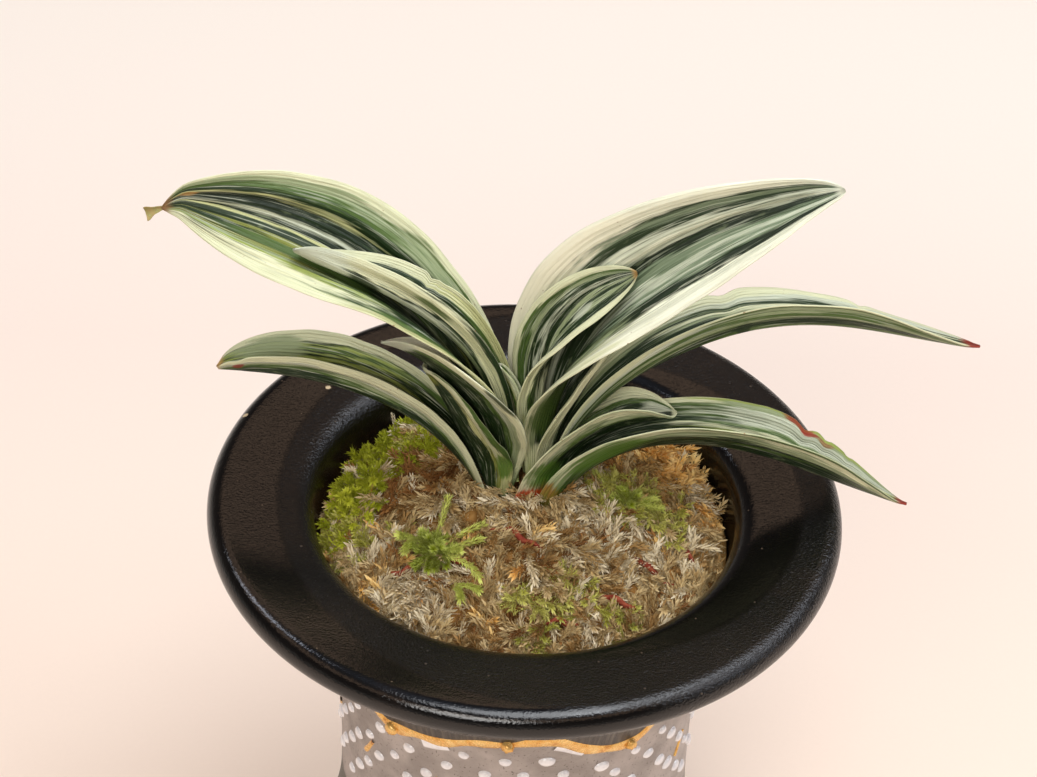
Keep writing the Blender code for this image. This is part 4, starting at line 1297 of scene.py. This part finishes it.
    def _gold(self) -> bpy.types.Material:
        """Thick brushed gilt, worn to orange in places."""
        bench = Bench("gilt")
        cloud = bench.noise(bench.place(), 420.0, 4.0, 0.65)
        fine = bench.noise(bench.place(), 1900.0, 3.0)
        colour = bench.ramp(cloud, [(0.3, tint(184, 118, 46)), (0.42, tint(236, 180, 92)),
                                    (0.66, tint(252, 214, 138))])
        return bench.finish(colour, 0.16 + fine * 0.2, bench.bump(fine + cloud * 1.5, 0.45, 0.12), Metallic=0.4)


@dataclass(frozen=True)
class MossTone:
    """Colours of one kind of sphagnum, from deep in the mat to its tips, in numbers from 0 to 255; the pale tip
    colour is partly the leaflets' own and partly painted shade, darker towards each stem.
    """

    name: str
    deep: Triple
    body: Triple
    light: Triple
    tip: Triple
    tip_share: float

    def material(self) -> bpy.types.Material:
        """Puts the moss's material together."""
        bench = Bench(self.name)
        shade, tip = bench.measure("shade"), bench.measure("tip")
        cloud = bench.noise(bench.place(), 260.0, 3.0) - 0.5
        drift = bench.noise(bench.place(), 85.0, 2.0) - 0.5
        light = tint(*self.light)
        colour = bench.ramp(shade + cloud * 0.3 + drift * 0.9,
                            [(0.02, tint(*self.deep)), (0.35, tint(*self.body)), (0.85, light)])
        # Leaflets lighten towards their points: partly their own paler tips, partly painted shade that darkens
        # them near the stem.
        colour = bench.blend(colour, tint(*self.tip), bench.step(tip, 0.1, 1.0) * self.tip_share)
        grain = bench.noise(bench.place(), 3000.0, 2.0)
        return bench.finish(colour, 0.72 - tip * 0.2, bench.bump(grain, 0.3, 0.05), Specular_IOR_Level=0.15,
                            Sheen_Weight=0.5, Sheen_Roughness=0.6, Sheen_Tint=light + (1.0,))


@dataclass(frozen=True)
class FrondKind:
    """One kind of strand.

    Attributes:
        name: the piece's name.
        tone: its colours.
        leaflet: length and width of a leaflet.
        spread: how far a leaflet stands off the stem, in degrees.
        stations: whorls of leaflets along a strand.
        around: leaflets in each whorl.
        count: how many strands or tufts there are.
        length: least and greatest length of a strand.
        rise: least and greatest climb of a strand, in radians.
        base: how thickly it grows away from its clumps.
        clumps: where it grows more thickly or more thinly.
        arms: strands in a tuft, 0 for single strands.
        spacing: least distance between tufts.
    """

    name: str
    tone: MossTone
    leaflet: tuple[float, float]
    spread: float
    stations: int
    around: int
    count: int = 0
    length: tuple[float, float] = (0.0, 0.0)
    rise: tuple[float, float] = (0.0, 0.0)
    base: float = 0.0
    clumps: tuple[tuple[float, float, float, float], ...] = ()
    arms: int = 0
    spacing: float = 0.0

    def density(self, x: np.ndarray, y: np.ndarray) -> np.ndarray:
        """How thickly this kind grows at a place.

        Args:
            x: distance to the right.
            y: distance to the back.

        Returns:
            The density, 0 or more.
        """
        total = np.full_like(x, self.base)
        for cx, cy, radius, share in self.clumps:
            total = total + share * np.exp(-((x - cx) ** 2 + (y - cy) ** 2) / radius**2)
        return np.maximum(total, 0.0)


DRY = MossTone("moss_dry_tone", (138, 100, 46), (178, 147, 93), (201, 176, 128), (218, 202, 160), 0.5)
STRAWY = MossTone("moss_straw_tone", (110, 72, 26), (148, 108, 56), (172, 140, 88), (190, 164, 118), 0.4)
PALE = MossTone("moss_pale_tone", (168, 138, 84), (208, 188, 146), (226, 211, 178), (236, 226, 200), 0.6)
BROWN = MossTone("moss_brown_tone", (76, 42, 16), (118, 74, 34), (150, 106, 58), (170, 130, 80), 0.35)
RUST = MossTone("moss_rust_tone", (176, 100, 28), (226, 172, 82), (234, 198, 124), (242, 218, 164), 0.5)
GREEN = MossTone("moss_green_tone", (84, 92, 6), (142, 150, 16), (176, 180, 44), (204, 202, 92), 0.4)
LIMY = MossTone("moss_lime_tone", (104, 104, 20), (158, 156, 50), (188, 184, 92), (214, 206, 138), 0.5)
SPRING = MossTone("moss_head_tone", (112, 124, 0), (142, 158, 8), (196, 202, 98), (216, 218, 134), 0.45)
CLARET = MossTone("moss_stem_tone", (84, 30, 20), (122, 48, 34), (148, 78, 54), (134, 62, 46), 0.2)

# Where a kind of moss grows thickly, or thinly if the last number is negative: x, y, reach and how much.
THIN_CLUMPS = ((-30, 25, 10, -1), (32, 20, 9, -0.85), (-37, 8, 8, -0.9), (-18.5, -19.5, 5, -0.9),
               (22, -3, 4, -0.8))
DRY_CLUMPS = ((-25, 6, 8, -0.9),) + THIN_CLUMPS
STRAW_CLUMPS = ((-24, 4, 7, -1),) + THIN_CLUMPS
BROWN_CLUMPS = ((-22, 2, 6, 6), (-27, 9, 4.5, 3), (-24, 8, 9, 2.6), (-18, 16, 9, 1.6), (-4, -14, 10, 1),
                (-26, -24, 9, 0.9), (6, -34, 12, 0.9), (30, -22, 9, 0.7), (14, -12, 9, 0.6), (-13, -32, 8, 1))
RUST_CLUMPS = ((30, 22, 10, 3), (36, 12, 8, 2.6), (22, 14, 8, 1.8), (40, 4, 6, 1.4),
               (-26, -24, 4, 0.9), (24, 30, 8, 1.6))
PALE_CLUMPS = ((-21, -28, 4.5, 3.2), (37, 6, 3, 2.4), (18, -15, 5, 2), (12, -9, 4, 1.6),
               (26, -14, 4, 1.4), (-28, -25, 3.5, 1.6), (-33, -13, 5, 1.2), (34, -10, 4, 1.2),
               (14, 6, 4, 1.4), (-2, -8, 4, 1), (-34, 8, 4, 0.9))
LIME_CLUMPS = ((-30, 24, 7, 3), (-23, 29, 6, 3), (-36, 15, 5, 2.6), (-29, 15, 3.5, 1.2),
               (-38, -5, 3, 0.8))
PALE_LIME_CLUMPS = ((23, -2, 4.4, 3), (17, -1, 3, 1.6), (29.5, -5, 3, 1.8), (-33, -13, 3.5, 0.8),
                    (-39, -8, 3.5, 1.4), (1, -29, 2, 1.8), (7, -31, 1.8, 1.1), (12, -26, 2.2, 1.5),
                    (18, -29, 2, 1.7), (21.5, -31, 2.2, 1.7), (3, -37, 1.8, 0.9), (-21, 22, 4, 1))


@dataclass(frozen=True)
class Head:
    """A living head of moss.

    Attributes:
        place: where it stands.
        arms: direction in degrees and length of each long arm.
        rise: how steeply the long arms climb.
        hearts: how many short arms stand in the middle.
        heart_length: how long these are.
    """

    place: tuple[float, float]
    arms: tuple[tuple[float, float], ...]
    rise: float
    hearts: int = 0
    heart_length: float = 0.0


SPIDERS = (
    Head((-18.5, -19.5), ((39, 14), (77, 13.5), (2, 11.5), (-34, 17.5), (-12, 8), (120, 7)), 0.64, 42, 5.0),
    Head((-14.5, -27.0), ((-20, 9), (-40, 6)), 0.6),
    Head((-22.0, -14.0), ((200, 5), (236, 8.5)), 0.7),
    Head((22.0, -3.0), ((165, 10), (150, 8), (-25, 7.5), (12, 6)), 0.5, 14, 3.8),
)
STARS = (
    Head((-37.0, 2.0), ((10, 6.5), (62, 6.5), (112, 6.5), (160, 5.5), (215, 6.5), (268, 5.5), (320, 6.5)),
         0.65, 14, 4.6),
    Head((-33.0, 6.0), ((0, 5), (50, 5), (110, 4.5), (300, 4.5)), 0.6, 8, 3.2),
    Head((-35.0, 17.0), ((20, 4.5), (95, 4.5), (160, 4), (230, 4.5), (300, 4.5)), 0.6, 6, 3.0),
)
SPRIGS = (Head((-29.0, 30.5), ((100, 6.5), (60, 4)), 1.35),)


@dataclass(frozen=True)
class MossBed:
    """A domed mat of sphagnum over the whole mouth: a mound, and thousands of feathery strands on it."""

    edge_level: float = -9.6
    rise: float = 15.5
    power: float = 1.6
    radius: float = 44.0
    hole: tuple[float, float] = (11.0, 9.4)
    shoulder: float = -12.0
    bottom: float = -21.6
    stem_hole: float = 8.4
    crown_floor: float = -5.0
    kinds: tuple[FrondKind, ...] = (
        FrondKind("moss_dry", DRY, count=1360, length=(3.5, 6.5), leaflet=(1.7, 0.62), spread=40.0,
                  stations=12, around=5, rise=(0.1, 0.8), base=1.0, clumps=DRY_CLUMPS),
        FrondKind("moss_straw", STRAWY, count=850, length=(3.5, 6.5), leaflet=(1.7, 0.64), spread=42.0,
                  stations=12, around=5, rise=(0.0, 0.7), base=1.0, clumps=STRAW_CLUMPS),
        FrondKind("moss_pale", PALE, count=560, length=(3.5, 6.5), leaflet=(1.9, 0.6), spread=36.0,
                  stations=12, around=5, rise=(0.2, 0.9), base=0.12, clumps=PALE_CLUMPS),
        FrondKind("moss_brown", BROWN, count=680, length=(3.5, 6.5), leaflet=(1.6, 0.62), spread=40.0,
                  stations=10, around=5, rise=(0.0, 0.5), base=0.3, clumps=BROWN_CLUMPS),
        FrondKind("moss_rust", RUST, count=520, length=(4.0, 7.5), leaflet=(2.1, 0.75), spread=34.0,
                  stations=10, around=5, rise=(0.1, 0.7), base=0.03, clumps=RUST_CLUMPS),
        FrondKind("moss_green", GREEN, count=84, length=(2.4, 3.8), leaflet=(1.15, 0.55), spread=50.0,
                  stations=9, around=6, rise=(0.2, 1.0), clumps=LIME_CLUMPS, arms=8, spacing=2.3),
        FrondKind("moss_lime", LIMY, count=70, length=(2.4, 4.0), leaflet=(1.2, 0.5), spread=46.0,
                  stations=9, around=5, rise=(0.2, 1.0), clumps=PALE_LIME_CLUMPS, arms=7, spacing=2.0),
    )

    scatter_tries, tuft_tries = 60000, 12000
    strand_reach, tuft_reach = 43.0, 42.6
    wall_zone = 39.0
    head_droop = -0.2
    mat_reach = 43.4

    def build(self) -> list[bpy.types.Object]:
        """Makes the mound and everything that lies on it."""
        draw = np.random.default_rng(23)
        pieces = [self._mound(draw)]
        for kind in self.kinds:
            pieces.append(self._tufts(kind, draw) if kind.arms else self._scatter(kind, draw))
        pieces += self._heads(draw)
        pieces.append(self._stems(draw))
        return pieces

    def level(self, x: np.ndarray, y: np.ndarray) -> np.ndarray:
        """The mat's height over a point: a low dome with soft lumps.

        Args:
            x: distance to the right.
            y: distance to the back.

        Returns:
            The level.
        """
        reach = np.hypot(x, y)
        lumps = (0.55 * np.sin(0.42 * x + 0.9) * np.sin(0.37 * y + 0.4)
                 + 0.8 * np.sin(0.8 * x - 0.5 * y) * np.sin(0.6 * y + 0.7 * x + 2.0))
        turn = np.arctan2(y, x)
        slump = 3.4 * np.exp(-((turn - 2.6) / 0.5) ** 2) + 2.6 * np.exp(-((turn - 0.3) / 0.5) ** 2)
        lumps = lumps - slump * np.clip((reach - 37.0) / 6.0, 0.0, 1.0)
        dome = self.rise * (1.0 - np.minimum(reach / self.radius, 1.0) ** self.power)
        return self.edge_level + dome + 0.35 + lumps

    @staticmethod
    def _ways(heading: np.ndarray, rise: np.ndarray) -> np.ndarray:
        """Unit vectors with headings from +X and climbs from level, in radians."""
        return np.stack([np.cos(heading) * np.cos(rise), np.sin(heading) * np.cos(rise), np.sin(rise)], axis=1)

    def _tries(self, reach: float, tries: int, draw: np.random.Generator) -> tuple[np.ndarray, np.ndarray]:
        """Random spots in a disc, as distances from its middle and angles."""
        return reach * np.sqrt(draw.random(tries)), draw.uniform(0.0, math.tau, tries)

    def _mound(self, draw: np.random.Generator) -> bpy.types.Object:
        """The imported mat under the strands.

        Args:
            draw: random numbers.

        Returns:
            The piece.
        """
        turn = np.linspace(0.0, math.tau, 180, endpoint=False)
        ray = np.stack([np.cos(turn), np.sin(turn)], axis=1)
        hole = 1.0 / np.hypot(ray[:, 0] / self.hole[0], ray[:, 1] / self.hole[1])
        columns = []
        for share in np.linspace(0.0, 1.0, 40):
            reach = hole + (self.mat_reach - hole) * share
            x, y = reach * ray[:, 0], reach * ray[:, 1]
            rough = draw.normal(0.0, 0.12, len(turn)) * (share < 0.98)
            columns.append(np.stack([x, y, self.level(x, y) + rough - 0.2], axis=1))
        for reach, level in ((42.9, self.shoulder), (40.2, self.bottom), (self.stem_hole, self.bottom),
                             (self.stem_hole, self.crown_floor - 1.0)):
            columns.append(np.stack([reach * ray[:, 0], reach * ray[:, 1], np.full(len(turn), level)], axis=1))
        columns.append(np.stack([hole * ray[:, 0], hole * ray[:, 1],
                                 np.full(len(turn), self.crown_floor)], axis=1))
        points = np.stack(columns, axis=1)
        count = points.shape[1]
        shade = np.clip(0.3 + draw.normal(0.0, 0.1, len(turn) * count), 0.0, 1.0)
        faces = tiles(len(turn), count, round_rows=True, round_columns=True)
        return add_piece("moss_mat", points.reshape(-1, 3), faces, STRAWY.material(), "sphagnum", "moss_bed",
                         {"shade": shade, "tip": np.zeros(len(shade))})

    def _scatter(self, kind: FrondKind, draw: np.random.Generator) -> bpy.types.Object:
        """Strews strands of one kind where they grow thickest.

        Args:
            kind: the kind.
            draw: random numbers.

        Returns:
            The piece.
        """
        reach, turn = self._tries(self.strand_reach, self.scatter_tries, draw)
        x, y = reach * np.cos(turn), reach * np.sin(turn)
        clear = np.hypot(x / (self.hole[0] - 1.6), y / (self.hole[1] - 2.4)) > 1.0
        clear = clear & (reach < self._limit(turn))
        likely = kind.density(x, y) * clear * np.where(reach > self.wall_zone, 1.6, 1.0)
        chosen = draw.choice(len(reach), kind.count, replace=False, p=likely / likely.sum())
        x, y = x[chosen], y[chosen]
        flow = (3.0 * np.sin(0.11 * x + 0.05 * y + 1.0) + 2.6 * np.sin(0.13 * y - 0.06 * x + 2.0)
                + 1.2 * np.sin(0.31 * x + 0.27 * y))
        heading = flow + draw.normal(0.0, 0.5, kind.count)
        rise = draw.uniform(*kind.rise, kind.count)
        length = draw.uniform(*kind.length, kind.count)
        inward = np.arctan2(-y, -x) + draw.uniform(-1.7, 1.7, kind.count)
        ways = self._ways(np.where(np.hypot(x, y) > self.wall_zone, inward, heading), rise)
        starts = np.stack([x, y], axis=1) - ways[:, :2] * length[:, None] * 0.5
        starts = starts * np.minimum(1.0, 42.7 / (np.linalg.norm(starts, axis=1, keepdims=True) + 1e-9))
        level = self.level(starts[:, 0], starts[:, 1]) + draw.uniform(-0.8, 0.9, kind.count)
        ways[:, 2] += np.einsum("ij,ij->i", self._slope(x, y), ways[:, :2])
        return self._fronds(kind, np.column_stack([starts, level]), unit(ways), length, draw)

    def _tufts(self, kind: FrondKind, draw: np.random.Generator) -> bpy.types.Object:
        """Plants living tufts: short arms round a middle, no two tufts closer than the kind's spacing.

        Args:
            kind: the kind.
            draw: random numbers.

        Returns:
            The piece.
        """
        reach, turn = self._tries(self.tuft_reach, self.tuft_tries, draw)
        x, y = reach * np.cos(turn), reach * np.sin(turn)
        spots = np.stack([x, y], axis=1)
        clear = (np.hypot(x / self.hole[0], y / self.hole[1]) > 1.0) & (reach < self._limit(turn) - 1.0)
        likely = kind.density(x, y) * clear
        likely = likely / likely.sum()
        chosen: list[np.ndarray] = []
        for spot in spots[draw.choice(len(spots), kind.count * 12, replace=False, p=likely)]:
            if len(chosen) < kind.count and all(np.hypot(*(spot - other)) > kind.spacing for other in chosen):
                chosen.append(spot)
        middles = np.repeat(np.array(chosen), kind.arms, axis=0)
        total = len(middles)
        heading = np.tile(np.arange(kind.arms) * math.tau / kind.arms, len(chosen))
        heading = heading + draw.normal(0.0, 0.35, total)
        ways = self._ways(heading, draw.uniform(*kind.rise, total))
        lift = np.repeat(draw.uniform(0.2, 1.2, len(chosen)), kind.arms)
        level = self.level(middles[:, 0], middles[:, 1]) + lift
        shades = np.repeat(draw.uniform(0.2, 0.85, len(chosen)), kind.arms)
        return self._fronds(kind, np.column_stack([middles, level]), unit(ways),
                            draw.uniform(*kind.length, total), draw, self.head_droop, shades)

    @staticmethod
    def _limit(turn: np.ndarray) -> np.ndarray:
        """How far out strands lie; the mat draws back from the wall at the back on both sides."""
        turn = np.arctan2(np.sin(turn), np.cos(turn))
        return 43.0 - 2.6 * np.exp(-((turn - 2.6) / 0.5) ** 2) - 2.4 * np.exp(-((turn - 0.2) / 0.45) ** 2)

    def _slope(self, x: np.ndarray, y: np.ndarray) -> np.ndarray:
        """How steeply the mat climbs towards +X and +Y."""
        return np.stack([self.level(x + 0.5, y) - self.level(x - 0.5, y),
                         self.level(x, y + 0.5) - self.level(x, y - 0.5)], axis=1)

    def _fronds(self, kind: FrondKind, starts: np.ndarray, ways: np.ndarray, length: np.ndarray,
                draw: np.random.Generator, droop: float = -0.28,
                shades: np.ndarray | None = None) -> bpy.types.Object:
        """Builds strands: pointed leaflets round curved stems.

        Args:
            kind: the kind of strand.
            starts: where the stems start.
            ways: the directions they set off in.
            length: their lengths.
            draw: random numbers.
            droop: how far they bend down.
            shades: how light each strand is; left out, that is random.

        Returns:
            The piece.
        """
        count = len(starts)
        lightness = draw.random(count) * 0.75 + 0.12 if shades is None else shades
        upward = np.array((0.0, 0.0, 1.0))
        sideways = unit(np.cross(ways, upward))
        bend = (sideways * draw.normal(0.0, 0.28, (count, 1))
                + upward * (droop + draw.normal(0.0, 0.08, (count, 1))))
        run = (np.arange(kind.stations) + 0.5) / kind.stations
        axis = starts[:, None] + length[:, None, None] * (ways[:, None] * run[None, :, None]
                                                          + bend[:, None] * run[None, :, None] ** 2)
        travel = unit(ways[:, None] + 2.0 * bend[:, None] * run[None, :, None])
        across = unit(np.cross(travel, upward))
        lift = np.cross(across, travel)
        twist = ((math.tau * np.arange(kind.around) / kind.around)[None, None, :]
                 + (np.arange(kind.stations) * 2.3)[None, :, None])
        twist = (twist + draw.uniform(0.0, 6.3, (count, 1, 1))
                 + draw.normal(0.0, 0.3, (count, kind.stations, kind.around)))
        radial = across[:, :, None] * np.cos(twist)[..., None] + lift[:, :, None] * np.sin(twist)[..., None]
        spread = np.radians(kind.spread + draw.normal(0.0, 9.0, twist.shape))[..., None]
        aim = np.cos(spread) * travel[:, :, None] + np.sin(spread) * radial
        size = (0.68 + 0.42 * run**2)[None, :, None] * draw.uniform(0.75, 1.25, twist.shape)
        long = (kind.leaflet[0] * size)[..., None]
        wide = (kind.leaflet[1] * size)[..., None]
        side = np.cross(aim, radial)
        root = axis[:, :, None] + radial * 0.1
        belly = root + aim * long * 0.42 + radial * long * 0.1
        points = np.stack([root, belly + side * wide / 2, root + aim * long, belly - side * wide / 2], axis=3)
        lone = np.arange(points[..., 0].size // 4)[:, None] * 4
        faces = np.vstack([lone + np.array((0, 1, 2)), lone + np.array((0, 2, 3))])
        shade = lightness[:, None, None, None] + draw.normal(0.0, 0.04, points.shape[:-1])
        # 0 at a leaflet's root to 1 at its point; the moss finish lightens by it, partly as painted shade near
        # the stem.
        tip = np.broadcast_to(np.array((0.0, 0.35, 1.0, 0.35)), points.shape[:-1])
        return add_piece(kind.name, points.reshape(-1, 3), faces, kind.tone.material(), "sphagnum", None,
                         {"shade": np.clip(shade, 0.0, 1.0), "tip": tip}, smooth=False)

    def _heads(self, draw: np.random.Generator) -> list[bpy.types.Object]:
        """Living heads: spidery ones with long arms, blunt stars, and one pale sprig at the back.

        Args:
            draw: random numbers.

        Returns:
            The three pieces.
        """
        slim = FrondKind("moss_heads", SPRING, leaflet=(1.35, 0.42), spread=44.0, stations=34, around=7)
        blunt = FrondKind("moss_stars", GREEN, leaflet=(1.4, 0.66), spread=60.0, stations=14, around=8)
        fair = FrondKind("moss_sprig", PALE, leaflet=(0.9, 0.4), spread=34.0, stations=14, around=5)
        return [self._crowns(slim, SPIDERS, draw, 0.95, 0.2), self._crowns(blunt, STARS, draw, 0.5, 0.7),
                self._crowns(fair, SPRIGS, draw, 0.9, 0.9)]

    def _crowns(self, kind: FrondKind, heads: Sequence[Head], draw: np.random.Generator, arm_shade: float,
                heart_shade: float) -> bpy.types.Object:
        """Builds living heads of one kind.

        Args:
            kind: the kind of arm they have.
            heads: the heads.
            draw: random numbers.
            arm_shade: how light the long arms are.
            heart_shade: how light the short arms in the middle are.

        Returns:
            The piece.
        """
        starts, ways, lengths, shades = [], [], [], []
        for head in heads:
            x, y = head.place
            foot = float(self.level(np.array(x), np.array(y))) + 1.3
            inner = tuple((draw.uniform(0.0, 360.0), head.heart_length * draw.uniform(0.7, 1.1))
                          for _ in range(head.hearts))
            for number, (turn, length) in enumerate(head.arms + inner):
                heart = number >= len(head.arms)
                up = draw.uniform(0.15, 1.4) if heart else head.rise * draw.uniform(0.8, 1.15)
                angle = math.radians(turn)
                starts.append((x, y, foot))
                ways.append((math.cos(angle) * math.cos(up), math.sin(angle) * math.cos(up), math.sin(up)))
                lengths.append(length)
                shades.append(heart_shade + draw.uniform(-0.1, 0.15) if heart else arm_shade)
        return self._fronds(kind, np.array(starts), unit(np.array(ways)), np.array(lengths), draw,
                            self.head_droop, np.array(shades))

    def _stems(self, draw: np.random.Generator) -> bpy.types.Object:
        """Dark red strands that lie in the mat.

        Args:
            draw: random numbers.

        Returns:
            The piece.
        """
        lines = (((-29, -22), (-17, -20.5)), ((-8, -14), (5, -18.5)), ((21, -16.5), (31, -19)),
                 ((13, -25), (25, -28.5)), ((4, -33), (13, -33.5)), ((-16, -20), (-11, -22)),
                 ((-23, -28), (-18, -25)), ((30, -8), (36, -12)))
        run, turn = np.linspace(0.0, 1.0, 24), np.linspace(0.0, math.tau, 8, endpoint=False)
        heap = Heap()
        for (x0, y0), (x1, y1) in lines:
            x = x0 + (x1 - x0) * run + 0.5 * wander(run, draw, 3, 3.0, 9.0)
            y = y0 + (y1 - y0) * run + 0.5 * wander(run, draw, 3, 3.0, 9.0)
            middle = np.stack([x, y, self.level(x, y) + 0.8 * np.sin(math.pi * run) + 0.9], axis=1)
            travel = unit(np.gradient(middle, axis=0))
            side = unit(np.cross(travel, np.array((0.0, 0.0, 1.0))))
            up = np.cross(side, travel)
            thick = (0.68 * np.sin(math.pi * (0.08 + 0.84 * run)))[:, None, None]
            ring = side[:, None] * np.cos(turn)[None, :, None] + up[:, None] * np.sin(turn)[None, :, None]
            heap.add((middle[:, None] + ring * thick).reshape(-1, 3),
                     tiles(len(run), len(turn), round_columns=True))
        points, faces = heap.merged()
        return add_piece("moss_red_strands", points, faces, CLARET.material(), "sphagnum", None,
                         {"shade": draw.random(len(points)), "tip": np.zeros(len(points))})


@dataclass(frozen=True)
class BuriedFinishes:
    """Finishes of the solids that keep their own shape: the rhizome with its roots, and the grit."""

    def dress(self) -> None:
        """Gives both solids their materials."""
        for name, material in (("rhizome", self._bark()), ("potting_grit", self._pumice())):
            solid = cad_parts[name]
            solid.data.materials.clear()
            solid.data.materials.append(material)
            LOG.info("%s: dressed", name)

    def _bark(self) -> bpy.types.Material:
        """Ringed tan skin of the rhizome."""
        bench = Bench("rhizome_skin")
        cloud = bench.noise(bench.place(), 240.0, 4.0)
        rings = bench.maths("SINE", bench.height() * 3.6 + cloud * 5.0)
        colour = bench.ramp(rings * 0.25 + cloud, [(0.3, tint(120, 78, 40)), (0.55, tint(186, 142, 84)),
                                                   (0.8, tint(214, 182, 124))])
        return bench.finish(colour, 0.6 + cloud * 0.25, bench.bump(rings + cloud, 0.6, 0.3))

    def _pumice(self) -> bpy.types.Material:
        """Packed tan grains, with painted shade in the gaps between them."""
        bench = Bench("pumice_grains")
        cells = bench.voronoi(bench.place(), 260.0)
        cloud = bench.noise(bench.place(), 320.0, 4.0)
        # Pale in the middle of each grain and dark where grains meet: painted shade in the gaps.
        colour = bench.ramp(cells + cloud * 0.4, [(0.2, tint(206, 186, 150)), (0.6, tint(164, 132, 92)),
                                                  (0.85, tint(70, 50, 34))])
        return bench.finish(colour, 0.8 + cloud * 0.15, bench.bump(1.0 - cells, 0.9, 0.9))


@dataclass(frozen=True)
class Lamp:
    """One soft box: where it stands in metres, its two sides, its power in watts and its colour."""

    name: str
    place: tuple[float, float, float]
    size: tuple[float, float]
    power: float
    colour: Colour

    aim = Vector((0.0, 0.0, 0.13))

    def build(self) -> None:
        """Sets the box up, aimed at the plant."""
        lamp = bpy.data.lights.new(self.name, "AREA")
        lamp.shape = "RECTANGLE"
        lamp.size, lamp.size_y = self.size
        lamp.energy = self.power
        lamp.color = self.colour
        box = bpy.data.objects.new(self.name, lamp)
        box.location = self.place
        box.rotation_euler = (self.aim - Vector(self.place)).to_track_quat("-Z", "Y").to_euler()
        bpy.context.scene.collection.objects.link(box)


@dataclass(frozen=True)
class Studio:
    """A pale floor, soft lights and the camera."""

    camera_place: tuple[float, float, float] = (-2.4, -499.9, 443.8)
    pitch: float = 39.57
    lean: float = 2.41
    focal_pixels: float = 3160.0
    picture_width: float = 1037.0
    lamps: tuple[Lamp, ...] = (
        Lamp("overhead", (0.12, -0.12, 1.05), (0.75, 0.5), 6.0, (0.96, 0.98, 1.0)),
        Lamp("front", (-0.35, -1.15, 1.05), (0.75, 0.45), 8.0, (1.0, 0.98, 0.95)),
        Lamp("right", (1.05, -0.3, 0.75), (0.3, 0.4), 1.8, (0.8, 0.88, 1.0)),
        Lamp("right_strip", (0.62, 0.2, 0.8), (0.12, 0.4), 1.7, (0.8, 0.88, 1.0)),
        Lamp("window", (0.34, -0.3, 1.0), (0.05, 0.45), 0.9, (0.9, 0.95, 1.0)),
        Lamp("left_strip", (-0.55, 0.3, 0.8), (0.1, 0.3), 0.7, (0.8, 0.86, 1.0)),
    )
    sky: Stops = ((0.0, (0.4, 0.37, 0.34)), (0.1, (0.34, 0.31, 0.28)), (0.2, (0.12, 0.1, 0.09)),
                  (0.63, (0.05, 0.045, 0.045)), (0.66, (1.0, 0.68, 0.48)), (0.74, (0.92, 0.64, 0.46)),
                  (0.8, (0.1, 0.09, 0.09)), (0.9, (0.13, 0.14, 0.17)), (1.0, (0.36, 0.42, 0.55)))

    sensor = 36.0

    def build(self) -> None:
        """Sets the room up."""
        self._floor()
        self._sky()
        for lamp in self.lamps:
            lamp.build()
        self._camera()

    def _floor(self) -> None:
        """A wide cream floor, a little peachier near the front."""
        bench = Bench("cream_paper")
        y = Signal(bench, bench.node("ShaderNodeSeparateXYZ", None, {0: bench.place()}).socket.node.outputs[1])
        fibre = bench.noise(bench.place(), 900.0, 3.0)
        colour = bench.ramp(bench.step(y, 0.0, 0.42), [(0.0, tint(223, 205, 190)), (0.5, tint(222, 207, 196)),
                                                       (1.0, tint(229, 220, 210))])
        colour = bench.shade(colour, 0.985 + fibre * 0.03)
        material = bench.finish(colour, 0.85 + fibre * 0.1, Specular_IOR_Level=0.1, Emission_Color=colour,
                                Emission_Strength=0.34)
        mesh = bpy.data.meshes.new("floor")
        mesh.from_pydata([(-3, -3, 0), (3, -3, 0), (3, 3, 0), (-3, 3, 0)], [], [(0, 1, 2, 3)])
        mesh.materials.append(material)
        floor = bpy.data.objects.new("floor", mesh)
        bpy.context.scene.collection.objects.link(floor)

    def _sky(self) -> None:
        """The room's own light: cream low down, a brown band above, and darker overhead."""
        world = bpy.data.worlds.new("room")
        bpy.context.scene.world = world
        world.use_nodes = True
        tree = world.node_tree
        tree.nodes.clear()
        way = tree.nodes.new("ShaderNodeTexCoord")
        split = tree.nodes.new("ShaderNodeSeparateXYZ")
        ramp = tree.nodes.new("ShaderNodeValToRGB")
        Bench.fill_ramp(ramp.color_ramp, self.sky)
        glow = tree.nodes.new("ShaderNodeBackground")
        out = tree.nodes.new("ShaderNodeOutputWorld")
        glow.inputs["Strength"].default_value = 1.05
        tree.links.new(way.outputs["Generated"], split.inputs[0])
        tree.links.new(split.outputs["Z"], ramp.inputs[0])
        tree.links.new(ramp.outputs[0], glow.inputs[0])
        tree.links.new(glow.outputs[0], out.inputs[0])

    def _camera(self) -> None:
        """The photograph's viewpoint."""
        pitch, lean = math.radians(self.pitch), math.radians(self.lean)
        ahead = Vector((0.0, math.cos(pitch), -math.sin(pitch)))
        across = Vector((1.0, 0.0, 0.0))
        up = across.cross(ahead)
        level_x = across * math.cos(lean) + up * math.sin(lean)
        level_y = up * math.cos(lean) - across * math.sin(lean)
        lens = bpy.data.cameras.new("camera")
        lens.sensor_fit = "HORIZONTAL"
        lens.sensor_width = self.sensor
        lens.lens = self.sensor * self.focal_pixels / self.picture_width
        lens.clip_start, lens.clip_end = 0.01, 20.0
        camera = bpy.data.objects.new("camera", lens)
        turn = Matrix((level_x, level_y, -ahead)).transposed().to_4x4()
        camera.matrix_world = Matrix.Translation(Vector(to_frame(np.array(self.camera_place)))) @ turn
        bpy.context.scene.collection.objects.link(camera)
        bpy.context.scene.camera = camera
        bpy.context.scene.view_settings.view_transform = "Standard"


def main() -> None:
    """Builds and dresses everything."""
    logging.basicConfig(level=logging.INFO, format="%(name)s: %(message)s")
    Studio().build()
    GlazedPot().build()
    MossBed().build()
    for blade in BLADES:
        blade.build()
    DryTip().build()
    BuriedFinishes().dress()
    bpy.context.view_layer.update()


if __name__ == "__main__":
    main()
